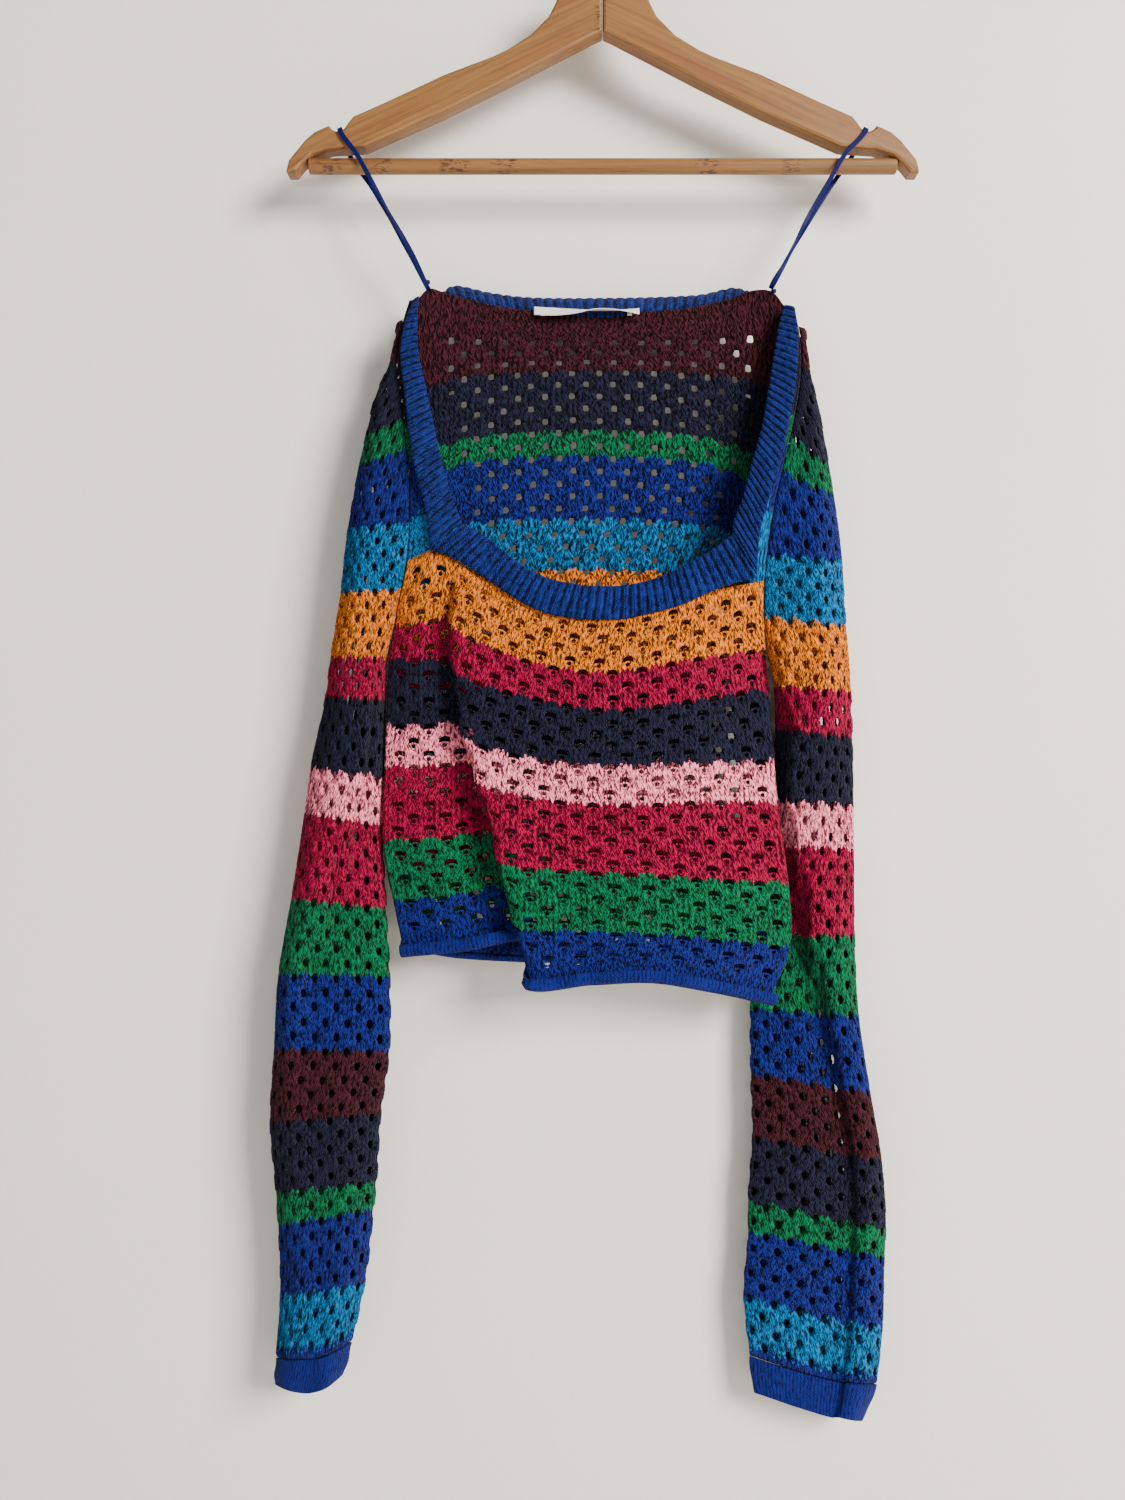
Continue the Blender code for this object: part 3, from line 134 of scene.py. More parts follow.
# back panel: its top edge, then one line a level: name, left x z depth, middle height,
# right x z depth, middle depth
BACK_TOP = [
    (-128.0, -287.0, 2.6), (-120.0, -279.6, 2.8), (-111.5, -281.8, 5.0), (-101.5, -284.6, 7.3),
    (-76.0, -291.1, 9.0), (-51.0, -294.6, 9.3), (2.0, -296.1, 9.3), (46.0, -294.6, 9.3),
    (68.5, -291.6, 9.0), (90.0, -286.0, 8.0), (104.0, -281.0, 5.4), (117.0, -281.6, 3.0),
    (126.0, -292.0, 2.6),
]
BACK_LEVELS = [
    ("maroon to navy", -131.0, -349.0, 6.0, -336.5, 127.0, -350.0, 6.0, 11.0),
    ("navy to green", -124.0, -391.0, 7.0, -377.5, 119.0, -399.0, 7.5, 13.0),
    ("green to blue", -119.5, -407.0, 7.2, -395.5, 113.5, -418.0, 8.0, 13.5),
    ("blue to cyan", -113.0, -446.0, 7.2, -438.5, 105.0, -454.0, 8.5, 14.0),
    ("cyan to orange", -126.0, -489.0, 4.2, -474.0, 105.5, -487.0, 7.5, 14.0),
    ("orange to magenta", -144.5, -526.0, 1.4, -532.0, 113.0, -534.0, 2.2, 14.0),
    ("magenta to navy", -147.0, -552.0, 1.4, -560.0, 115.5, -560.0, 1.4, 14.0),
    ("navy to pink", -148.2, -598.0, 1.4, -604.0, 119.5, -608.0, 1.4, 13.0),
    ("pink to magenta", -149.5, -626.0, 1.4, -632.0, 122.0, -636.0, 1.4, 13.0),
    ("magenta to green", -149.5, -684.0, 1.4, -688.0, 129.0, -693.0, 1.4, 12.0),
    ("green to blue", -142.5, -712.0, 1.4, -722.0, 130.0, -728.0, 1.4, 12.0),
    ("hem", -138.5, -730.0, 1.4, -742.0, 119.0, -762.0, 1.4, 12.0),
]

# sleeve cap levels: outer edge x z depth, front seam x z depth, back seam x z depth,
# front depth, back depth
CAP_LEFT = [
    ("shoulder", -141.0, -303.0, 1.5, -137.6, -301.0, -2.8, -129.8, -301.5, 3.8, -3.0, 6.0),
    ("maroon to navy", -146.0, -331.0, 3.0, -142.4, -327.0, -4.2, -131.6, -329.0, 5.6, -4.7, 9.5),
    ("navy upper part", -156.0, -354.0, 3.5, -139.9, -348.0, -6.4, -129.6, -350.0, 6.4, -7.4, 12.0),
    ("navy to green", -162.0, -379.0, 3.5, -137.3, -369.0, -8.6, -126.0, -372.0, 6.9, -10.0, 15.5),
    ("green to blue", -167.0, -401.0, 3.5, -134.8, -389.0, -9.9, -121.6, -395.0, 7.1, -12.0, 18.0),
    ("blue to cyan", -175.0, -446.0, 3.5, -134.0, -441.0, -11.0, -113.6, -441.0, 7.2, -13.5, 22.0),
    ("cyan to orange", -180.0, -489.0, 3.5, -139.6, -487.0, -6.0, -127.2, -486.0, 4.1, -14.0, 24.0),
]
CAP_RIGHT = [
    ("shoulder", 139.5, -307.5, 1.5, 135.0, -306.0, -2.8, 127.2, -306.0, 3.8, -3.0, 6.0),
    ("maroon to navy", 142.5, -337.0, 3.5, 137.4, -333.0, -5.0, 128.0, -334.0, 5.6, -5.4, 10.0),
    ("navy upper part", 149.0, -365.0, 4.0, 135.6, -355.0, -7.4, 124.6, -358.0, 6.8, -8.4, 14.0),
    ("navy to green", 155.5, -402.0, 4.0, 130.9, -379.0, -9.5, 119.6, -382.0, 7.5, -11.2, 18.0),
    ("green to blue", 158.5, -421.0, 4.0, 124.9, -404.0, -10.8, 113.2, -404.0, 8.0, -12.8, 20.0),
    ("blue to cyan", 164.5, -467.0, 4.5, 114.2, -463.0, -11.2, 105.3, -463.0, 8.2, -15.0, 24.0),
    ("cyan to orange", 167.5, -513.0, 5.0, 111.4, -506.0, -6.4, 109.0, -508.0, 5.2, -15.0, 26.0),
]

# sleeve tube levels: outer edge x z depth, inner edge x z depth, fold x,
# front depth beside the inner edge, front depth of the lobe, back depth, sag of the middle
TUBE_LEFT = [
    ("underarm", -182.5, -506.0, 3.5, -143.3, -504.5, 0.0, -160.0, -13.0, -14.0, 25.0, 0.0),
    ("orange to magenta", -187.0, -534.0, 4.0, -150.2, -535.0, 2.0, -160.0, -10.5, -13.0, 26.0, 0.0),
    ("magenta to navy", -190.5, -561.0, 4.0, -151.2, -563.0, 3.0, -160.0, -6.0, -13.5, 26.0, 0.0),
    ("navy to pink", -201.0, -612.0, 4.0, -152.1, -618.0, 4.0, -165.0, -3.0, -14.0, 24.0, 0.0),
    ("pink to magenta", -205.0, -642.0, 4.0, -153.0, -650.0, 4.5, -173.0, -2.5, -14.0, 24.0, 0.0),
    ("magenta to green", -214.0, -701.0, 4.0, -150.6, -708.0, 4.0, -190.0, -3.5, -12.5, 22.0, 0.0),
    ("green to blue", -223.0, -754.0, 3.0, -148.0, -756.0, 3.0, -206.0, -6.0, -11.0, 20.0, 0.0),
    ("blue to maroon", -226.0, -805.0, 3.0, -148.0, -807.0, 3.0, -209.0, -8.0, -10.0, 18.0, 0.0),
    ("maroon to navy", -229.0, -857.0, 3.0, -154.0, -851.0, 3.0, -205.0, -9.0, -10.0, 17.0, 0.0),
    ("navy to green", -225.0, -905.0, 3.0, -157.0, -897.0, 3.0, -200.0, -9.0, -10.0, 16.0, 0.0),
    ("green to blue low", -223.5, -927.0, 3.0, -159.0, -916.0, 3.0, -198.0, -9.0, -9.5, 16.0, 0.0),
    ("blue to cyan", -222.0, -976.0, 3.0, -165.0, -967.0, 3.0, -198.0, -8.5, -9.0, 15.0, -2.0),
    ("cuff seam", -225.0, -1019.0, 3.0, -174.0, -1008.0, 3.0, -203.0, -8.0, -8.5, 14.0, -6.0),
]
TUBE_RIGHT = [
    ("underarm", 169.0, -533.0, 5.5, 114.9, -530.0, 0.0, 140.0, -12.0, -14.0, 27.0, 0.0),
    ("orange to magenta", 171.0, -559.0, 6.5, 119.4, -554.0, 4.0, 136.0, -9.0, -12.0, 28.0, 0.0),
    ("magenta to navy", 172.0, -589.0, 8.0, 120.5, -583.0, 9.0, 131.0, 2.5, -9.5, 29.0, 0.0),
    ("navy to pink", 172.5, -637.0, 9.5, 117.5, -633.0, 15.0, 128.5, 8.5, -6.0, 31.0, 0.0),
    ("pink to magenta", 173.0, -668.0, 11.0, 112.0, -665.0, 18.5, 133.5, 11.5, -2.0, 32.0, 0.0),
    ("magenta to green", 173.5, -727.0, 13.5, 107.0, -727.0, 21.5, 143.0, 15.0, 0.0, 33.0, 0.0),
    ("green to blue", 176.0, -781.0, 15.0, 103.0, -776.0, 21.0, 156.0, 14.0, 2.5, 33.0, 0.0),
    ("blue to maroon", 184.0, -835.0, 16.0, 103.0, -822.0, 20.0, 166.0, 13.0, 4.0, 32.0, 0.0),
    ("maroon to navy", 192.0, -883.0, 16.0, 104.0, -866.0, 19.0, 174.0, 12.0, 4.5, 30.0, 0.0),
    ("navy to green", 195.0, -931.0, 16.0, 101.0, -911.0, 18.0, 176.0, 11.0, 4.5, 28.0, 0.0),
    ("green to blue low", 194.0, -950.0, 16.0, 101.0, -932.0, 18.0, 175.0, 11.0, 4.5, 28.0, 0.0),
    ("blue to cyan", 193.0, -996.0, 16.0, 98.0, -975.0, 17.0, 173.0, 10.5, 4.5, 27.0, -2.0),
    ("cuff seam", 189.0, -1037.0, 15.0, 102.0, -1018.0, 16.0, 168.0, 10.0, 4.5, 25.0, -4.0),
]

# cuffs: as the sleeve tube, upper edge then the middle then the lower edge
CUFF_LEFT = [
    ("seam", -225.0, -1020.0, 3.0, -174.2, -1009.0, 3.0, -203.0, -8.0, -8.5, 14.0, -6.0),
    ("middle", -226.0, -1030.0, 3.0, -176.5, -1020.0, 3.0, -204.0, -8.6, -9.1, 14.6, -8.0),
    ("edge", -226.0, -1038.0, 3.0, -180.0, -1031.0, 3.0, -205.0, -10.2, -10.7, 16.0, -9.5),
]
CUFF_RIGHT = [
    ("seam", 188.9, -1038.0, 15.0, 102.0, -1019.1, 16.0, 168.0, 10.0, 4.5, 25.0, -4.0),
    ("middle", 185.0, -1050.0, 15.0, 103.0, -1031.0, 16.0, 166.0, 9.4, 4.2, 25.6, -4.0),
    ("edge", 178.5, -1062.5, 15.0, 106.0, -1043.5, 16.0, 162.0, 7.9, 3.0, 27.0, -3.0),
]

# neck band lengths: outer edge x z depth, inner edge x z depth
BAND_FRONT = [
    (-118.6, -461.0, -20.2, -96.6, -442.9, -18.0),
    (-104.0, -466.0, -21.0, -82.0, -450.5, -18.8),
    (-85.0, -477.5, -22.2, -70.0, -460.5, -19.6),
    (-65.0, -491.5, -23.4, -54.0, -472.5, -20.4),
    (-46.0, -502.0, -24.0, -37.0, -480.5, -21.0),
    (-26.0, -507.5, -24.3, -19.5, -484.5, -21.2),
    (-6.0, -509.0, -24.3, -3.0, -486.0, -21.2),
    (14.0, -508.5, -24.2, 13.5, -485.5, -21.2),
    (34.0, -504.5, -24.0, 30.0, -482.5, -21.0),
    (54.0, -499.0, -23.6, 46.5, -476.5, -20.6),
    (74.0, -490.0, -22.8, 63.0, -468.5, -20.0),
    (91.0, -484.0, -21.6, 77.5, -459.5, -19.0),
    (106.3, -479.8, -20.5, 89.0, -451.4, -18.2),
]
BAND_LEFT = [
    (-131.0, -287.5, -5.8, -127.0, -285.5, -4.4),
    (-136.0, -300.0, -7.8, -128.0, -300.0, -5.8),
    (-140.0, -324.0, -10.2, -127.5, -322.0, -7.8),
    (-137.0, -352.0, -13.2, -121.5, -352.0, -10.4),
    (-134.0, -380.0, -15.6, -116.0, -378.0, -12.8),
    (-129.0, -410.0, -17.6, -109.5, -406.0, -15.2),
    (-123.0, -432.0, -18.8, -103.0, -427.0, -16.7),
    (-119.2, -460.0, -20.2, -97.4, -441.8, -18.0),
]
BAND_RIGHT = [
    (132.6, -293.0, -5.0, 125.5, -292.0, -3.6),
    (135.0, -306.0, -7.1, 122.0, -305.0, -5.3),
    (135.5, -320.0, -8.9, 119.5, -319.0, -6.9),
    (133.5, -346.0, -12.0, 115.5, -345.0, -9.6),
    (128.5, -376.0, -14.9, 110.5, -374.0, -12.3),
    (121.5, -402.0, -16.9, 103.5, -400.0, -14.6),
    (114.5, -426.0, -18.3, 97.0, -424.0, -16.2),
    (108.5, -452.0, -19.6, 90.5, -442.0, -17.4),
    (107.0, -478.6, -20.3, 90.0, -450.2, -18.0),
]
BAND_BACK = [
    (-114.0, -281.0, 6.0, -117.0, -277.8, 15.0),
    (-102.0, -283.0, 8.0, -103.0, -278.6, 19.0),
    (-76.0, -289.5, 9.5, -77.0, -283.5, 22.0),
    (-51.0, -293.0, 9.5, -52.0, -286.5, 22.0),
    (2.0, -294.5, 9.5, 2.0, -287.0, 22.0),
    (46.0, -293.0, 9.5, 47.0, -286.0, 22.0),
    (68.0, -290.0, 9.5, 69.0, -284.5, 22.0),
    (90.0, -284.5, 8.5, 91.0, -280.0, 20.0),
    (104.0, -279.5, 6.0, 107.0, -276.0, 15.0),
]
RIBS_FRONT = 38
RIBS_LEFT = 33
RIBS_RIGHT = 34
RIBS_BACK = 31

# label: upper edge x z depth, lower edge z depth
LABEL_LEVELS = [
    (-47.4, -294.9, 7.8, -300.2, 4.0),
    (-33.0, -295.7, 7.8, -300.6, 1.4),
    (-19.0, -296.3, 7.8, -300.2, -1.2),
    (-5.0, -296.5, 7.8, -299.6, -2.4),
    (9.0, -296.5, 7.8, -299.4, -2.0),
    (25.4, -295.9, 7.8, -299.8, 3.0),
]

# ribbon loops as seen from the front: x z depth, up the front and down the back
LOOP_LEFT = [
    (-120.4, -280.7, 1.8), (-121.8, -277.6, -1.4), (-131.0, -257.5, -5.6), (-145.0, -232.0, -7.6),
    (-159.0, -207.0, -8.6), (-170.5, -186.5, -8.6), (-178.6, -175.6, -8.5),
    (-181.9, -170.4, -8.2), (-182.2, -168.6, -7.4), (-181.9, -168.9, -5.0), (-180.9, -171.6, 0.0),
    (-179.9, -174.4, 5.0), (-179.3, -176.8, 7.4), (-178.7, -179.4, 8.2), (-173.0, -192.0, 8.6),
    (-161.0, -209.0, 8.6), (-147.0, -234.0, 7.2), (-132.5, -258.5, 5.6), (-122.4, -277.2, 4.4),
]
LOOP_RIGHT = [
    (116.4, -280.1, 1.8), (118.2, -277.2, -1.4), (128.5, -258.0, -5.6), (141.0, -233.0, -7.6),
    (156.0, -207.0, -8.6), (168.5, -186.0, -8.6), (178.6, -175.6, -8.5),
    (182.5, -170.4, -8.2), (182.7, -168.6, -7.4), (182.2, -168.9, -5.0), (180.9, -171.6, 0.0),
    (179.6, -174.4, 5.0), (178.7, -176.8, 7.4), (178.1, -179.4, 8.2), (171.0, -191.0, 8.6),
    (158.5, -209.0, 8.6), (143.5, -235.0, 7.2), (130.0, -259.5, 5.6), (118.8, -276.4, 4.4),
]


class Yarn(Enum):
    """The yarn colours of the stripes, as sRGB hex."""

    MAROON = "#38121c"
    NAVY = "#17172e"
    GREEN = "#005e3a"
    BLUE = "#0f1c6c"
    CYAN = "#006096"
    ORANGE = "#d27018"
    MAGENTA = "#8c0034"
    PINK = "#fa869e"


FRONT_STRIPES = (Yarn.ORANGE, Yarn.MAGENTA, Yarn.NAVY, Yarn.PINK, Yarn.MAGENTA, Yarn.GREEN, Yarn.BLUE)
BACK_STRIPES = (Yarn.MAROON, Yarn.NAVY, Yarn.GREEN, Yarn.BLUE, Yarn.CYAN, *FRONT_STRIPES)
STRAP_STRIPES = BACK_STRIPES[:5]
SLEEVE_STRIPES = (*BACK_STRIPES[:2], None, *BACK_STRIPES[2:6], None, *BACK_STRIPES[6:], *STRAP_STRIPES)


def linear(colour: str) -> tuple[float, float, float, float]:
    """Turn an sRGB hex colour into linear values.

    Args:
        colour: Six hex digits after a hash sign.

    Returns:
        Red, green, blue and a full alpha.
    """
    values = [int(colour[k:k + 2], 16) / 255.0 for k in (1, 3, 5)]
    red, green, blue = (
        v / 12.92 if v <= 0.04045 else ((v + 0.055) / 1.055) ** 2.4 for v in values
    )
    return red, green, blue, 1.0


def place(x: float, z: float, depth: float) -> np.ndarray:
    """Find the real place of a point that looks to be at x, z and lies at this depth.

    Args:
        x: Where it looks to be across, in millimetres.
        z: Where it looks to be in height.
        depth: How far behind the hanger's middle it lies.

    Returns:
        Its place in millimetres.
    """
    grow = (EYE_DISTANCE + depth) / EYE_DISTANCE
    return np.array([EYE_X + (x - EYE_X) * grow, depth, EYE_Z + (z - EYE_Z) * grow])


def slopes(stops: np.ndarray, values: np.ndarray, closed: bool = False) -> np.ndarray:
    """Find the slope at each stop from its two neighbours.

    Args:
        stops: Where the values stand.
        values: One value or place a stop.
        closed: Whether the last stop is the first one again.

    Returns:
        One slope a stop.
    """
    shape = (-1,) + (1,) * (values.ndim - 1)
    gaps = np.diff(stops).reshape(shape)
    rates = np.diff(values, axis=0) / gaps
    out = np.empty_like(values)
    out[0], out[-1] = rates[0], rates[-1]
    out[1:-1] = (rates[:-1] * gaps[1:] + rates[1:] * gaps[:-1]) / (gaps[:-1] + gaps[1:])
    if closed:
        out[0] = out[-1] = (rates[-1] * gaps[0] + rates[0] * gaps[-1]) / (gaps[0] + gaps[-1])
    return out


def blend(stops: Sequence[float], values: Sequence, wanted: Sequence[float],
          closed: bool = False) -> np.ndarray:
    """Read smooth values at the wanted stops, through the given ones.

    Args:
        stops: Rising stops of the given values.
        values: One value or place a stop.
        wanted: The stops to read at.
        closed: Whether the last stop is the first one again.

    Returns:
        One value or place for each wanted stop.
    """
    stops = np.asarray(stops, float)
    values = np.asarray(values, float)
    wanted = np.clip(np.atleast_1d(np.asarray(wanted, float)), stops[0], stops[-1])
    slope = slopes(stops, values, closed)
    index = np.clip(np.searchsorted(stops, wanted, side="right") - 1, 0, len(stops) - 2)
    shape = (-1,) + (1,) * (values.ndim - 1)
    gap = (stops[index + 1] - stops[index]).reshape(shape)
    part = (wanted - stops[index]).reshape(shape) / gap
    square, cube = part * part, part * part * part
    return ((2 * cube - 3 * square + 1) * values[index] + (3 * square - 2 * cube) * values[index + 1]
            + (cube - 2 * square + part) * gap * slope[index]
            + (cube - square) * gap * slope[index + 1])


def run_along(line: np.ndarray) -> np.ndarray:
    """Measure the way from a line's start to each of its places.

    Args:
        line: Places in order.

    Returns:
        The length up to each place.
    """
    return np.concatenate([[0.0], np.cumsum(np.linalg.norm(np.diff(line, axis=0), axis=1))])


def smooth_line(points: Sequence, count: int, closed: bool = False) -> np.ndarray:
    """Draw a smooth line through the points.

    Args:
        points: Places that it passes through.
        count: How many places to give back, evenly spaced.
        closed: Whether it returns to its start.

    Returns:
        The places along it.
    """
    points = np.asarray(points, float)
    if closed:
        points = np.vstack([points, points[:1]])
    chords = np.linalg.norm(np.diff(points, axis=0), axis=1)
    stops = np.concatenate([[0.0], np.cumsum(np.sqrt(chords))])
    fine = blend(stops, points, np.linspace(0.0, stops[-1], 60 * len(points)), closed)
    run = run_along(fine)
    wanted = np.linspace(0.0, run[-1], count)
    return np.column_stack([np.interp(wanted, run, fine[:, axis]) for axis in range(3)])


def unit(vector: np.ndarray) -> np.ndarray:
    """Give the same direction at length one."""
    return vector / np.maximum(np.linalg.norm(vector, axis=-1, keepdims=True), 1e-9)


def normals(grid: np.ndarray) -> np.ndarray:
    """Find which way a grid of places faces at each place.

    Args:
        grid: Rows of places.

    Returns:
        One unit direction a place.
    """
    return unit(np.cross(np.gradient(grid, axis=0), np.gradient(grid, axis=1)))


def to_seam(points: np.ndarray, seam: Sequence, gap: float) -> np.ndarray:
    """Move the points above the underarm onto the seam, short of it by the gap.

    Args:
        points: Places on a panel's edge.
        seam: The seam's table from shoulder to underarm.
        gap: Signed distance kept from it.

    Returns:
        The moved places.
    """
    line = np.array([place(*point) for point in seam])
    points = np.array(points, float)
    above = points[:, 2] >= line[-1, 2]
    if not above.any():
        return points
    heights = -points[above, 2]
    across = blend(-line[:, 2], line[:, :2], heights)
    lean = blend(-line[:, 2], line[:, 0], heights + 1.0) - blend(-line[:, 2], line[:, 0], heights - 1.0)
    points[above, 0] = across[:, 0] + gap * np.sqrt(1.0 + (0.5 * lean) ** 2)
    points[above, 1] = across[:, 1]
    return points


def pull_edge(sheet: np.ndarray, rows: int, last: bool, seam: Sequence, gap: float,
              reach: float) -> None:
    """Draw the first rows of a sheet over so that one edge lies on the seam.

    Args:
        sheet: Rows of places, changed in place.
        rows: How many rows from the top.
        last: Whether it is the last place of each row and not the first.
        seam: The seam's table.
        gap: Signed distance kept from it.
        reach: The part of the width over which the pull fades.
    """
    edge = -1 if last else 0
    shift = to_seam(sheet[:rows, edge], seam, gap) - sheet[:rows, edge]
    across = np.linspace(0.0, 1.0, sheet.shape[1])
    if last:
        across = across[::-1]
    share = np.clip(1.0 - across / reach, 0.0, 1.0) ** 2
    sheet[:rows] += share[None, :, None] * shift[:, None, :]


def front_level(level: tuple, count: int) -> np.ndarray:
    """Draw one level of the front, from its left edge to its right one.

    Args:
        level: One line of FRONT_LEVELS.
        count: How many places to give back.

    Returns:
        Its places, evenly spaced.
    """
    (_, left_x, left_z, valley_x, valley_z, ridge_x, ridge_z, first_z, middle_z, third_z,
     right_x, right_z, left_y, pleat_y, valley_y, ridge_y, middle_y, third_y, right_y) = level
    span = right_x - ridge_x
    return smooth_line([
        place(left_x + SEAM_GAP, left_z, left_y),
        place(0.55 * left_x + 0.45 * valley_x, 0.5 * (left_z + valley_z) - 1.0, pleat_y),
        place(valley_x, valley_z, valley_y),
        place(ridge_x, ridge_z, ridge_y),
        place(ridge_x + 0.25 * span, first_z, 0.5 * (ridge_y + middle_y) - 0.5),
        place(ridge_x + 0.5 * span, middle_z, middle_y),
        place(ridge_x + 0.75 * span, third_z, third_y),
        place(right_x - SEAM_GAP, right_z, right_y),
    ], count)


def back_level(level: tuple, count: int) -> np.ndarray:
    """Draw one level of the back, from its left edge to its right one.

    Args:
        level: One line of BACK_LEVELS.
        count: How many places to give back.

    Returns:
        Its places, evenly spaced.
    """
    _, left_x, left_z, left_y, middle_z, right_x, right_z, right_y, middle_y = level
    span = right_x - left_x
    return smooth_line([
        place(left_x + SEAM_GAP, left_z, left_y),
        place(left_x + 0.12 * span, 0.4 * left_z + 0.6 * middle_z, 0.4 * left_y + 0.6 * middle_y),
        place(left_x + 0.30 * span, 0.1 * left_z + 0.9 * middle_z, middle_y),
        place(left_x + 0.50 * span, middle_z, middle_y),
        place(left_x + 0.70 * span, 0.1 * right_z + 0.9 * middle_z, middle_y),
        place(left_x + 0.88 * span, 0.4 * right_z + 0.6 * middle_z, 0.4 * right_y + 0.6 * middle_y),
        place(right_x - SEAM_GAP, right_z, right_y),
    ], count)


def cap_level(level: tuple, count: int) -> np.ndarray:
    """Draw one level of a sleeve cap, from the front seam round the outside to the back one.

    Args:
        level: One line of a cap table.
        count: How many places to give back.

    Returns:
        Its places, evenly spaced.
    """
    (_, outer_x, outer_z, outer_y, front_x, front_z, front_y,
     back_x, back_z, back_y, near_y, far_y) = level
    return smooth_line([
        place(front_x, front_z, front_y),
        place(0.66 * front_x + 0.34 * outer_x, 0.66 * front_z + 0.34 * outer_z,
              0.7 * near_y + 0.3 * front_y),
        place(0.25 * front_x + 0.75 * outer_x, 0.25 * front_z + 0.75 * outer_z, near_y),
        place(outer_x, outer_z, outer_y),
        place(0.75 * outer_x + 0.25 * back_x, 0.75 * outer_z + 0.25 * back_z, far_y),
        place(0.34 * outer_x + 0.66 * back_x, 0.34 * outer_z + 0.66 * back_z,
              0.6 * far_y + 0.4 * back_y),
        place(back_x, back_z, back_y),
    ], count)


def tube_level(level: tuple, count: int) -> np.ndarray:
    """Draw one closed level of a sleeve, from its inner edge round the front and the back.

    Args:
        level: One line of a tube or cuff table.
        count: How many places to give back.

    Returns:
        Its places, evenly spaced.
    """
    (_, outer_x, outer_z, outer_y, inner_x, inner_z, inner_y,
     fold_x, recess_y, lobe_y, far_y, sag) = level
    share = (fold_x - inner_x) / (outer_x - inner_x)
    fold_z = inner_z + share * (outer_z - inner_z) + sag
    side = 1.0 if outer_x > inner_x else -1.0
    step = min(1.0, abs(recess_y - lobe_y) / 8.0)
    turn = side * (3.0 - 1.5 * step)
    return smooth_line([
        place(inner_x, inner_z, inner_y),
        place(0.5 * (inner_x + fold_x), 0.5 * (inner_z + fold_z) + 0.4 * sag, recess_y),
        place(fold_x - turn, fold_z, 0.8 * recess_y + 0.2 * lobe_y),
        place(fold_x + turn, fold_z, 0.1 * recess_y + 0.9 * lobe_y),
        place(0.45 * fold_x + 0.55 * outer_x, 0.45 * fold_z + 0.55 * outer_z + 0.2 * sag, lobe_y),
        place(outer_x, outer_z, outer_y),
        place(0.72 * outer_x + 0.28 * inner_x, 0.72 * outer_z + 0.28 * inner_z + 0.6 * sag, far_y),
        place(0.28 * outer_x + 0.72 * inner_x, 0.28 * outer_z + 0.72 * inner_z + 0.6 * sag, far_y),
    ], count, closed=True)


def add(tree: bpy.types.NodeTree, kind: str, settings: dict, links: dict,
        known: dict) -> bpy.types.Node:
    """Add a node with its settings and links.

    Args:
        tree: The material's node tree.
        kind: The node's type, after the words ShaderNode.
        settings: Its own properties by name; stops are places and colours on its ramp.
        links: For each input, a value, an output, or the name of a known output.
        known: Outputs by name.

    Returns:
        The node.
    """
    node = tree.nodes.new("ShaderNode" + kind)
    for name, value in settings.items():
        if name != "stops":
            setattr(node.color_ramp if name == "interpolation" else node, name, value)
            continue
        spots = node.color_ramp.elements
        spots.remove(spots[1])
        for k, (where, colour) in enumerate(value):
            spot = spots.new(where) if k else spots[0]
            spot.position = where
            spot.color = linear(colour) if isinstance(colour, str) else colour
    for socket, source in links.items():
        if isinstance(source, str):
            source = known[source]
        if isinstance(source, bpy.types.NodeSocket):
            tree.links.new(source, node.inputs[socket])
        else:
            node.inputs[socket].default_value = source
    return node


def new_material(name: str, values: dict, rows: Iterable[tuple], links: dict) -> bpy.types.Material:
    """Make a material from its shader's own values and the nodes that feed it.

    Args:
        name: What the real material is.
        values: The shader's own values by socket.
        rows: For each node its name, type, settings and links; it may read the nodes
            before it by name, and the shader as shader.
        links: Names of nodes by the shader's socket, or by the output's, Surface.

    Returns:
        The material.
    """
    made = bpy.data.materials.new(name)
    made.use_nodes = True
    tree = made.node_tree
    shader = tree.nodes["Principled BSDF"]
    for socket, value in values.items():
        shader.inputs[socket].default_value = value
    known = {"shader": shader.outputs[0]}
    for row, kind, settings, inputs in rows:
        node = add(tree, kind, settings, inputs, known)
        known[row] = node.outputs[2 if settings.get("data_type") == "RGBA" else 0]
        for output in node.outputs:
            known.setdefault(f"{row}.{output.name}", output)
    for socket, row in links.items():
        end = tree.nodes["Material Output"] if socket == "Surface" else shader
        tree.links.new(known[row], end.inputs[socket])
    return made


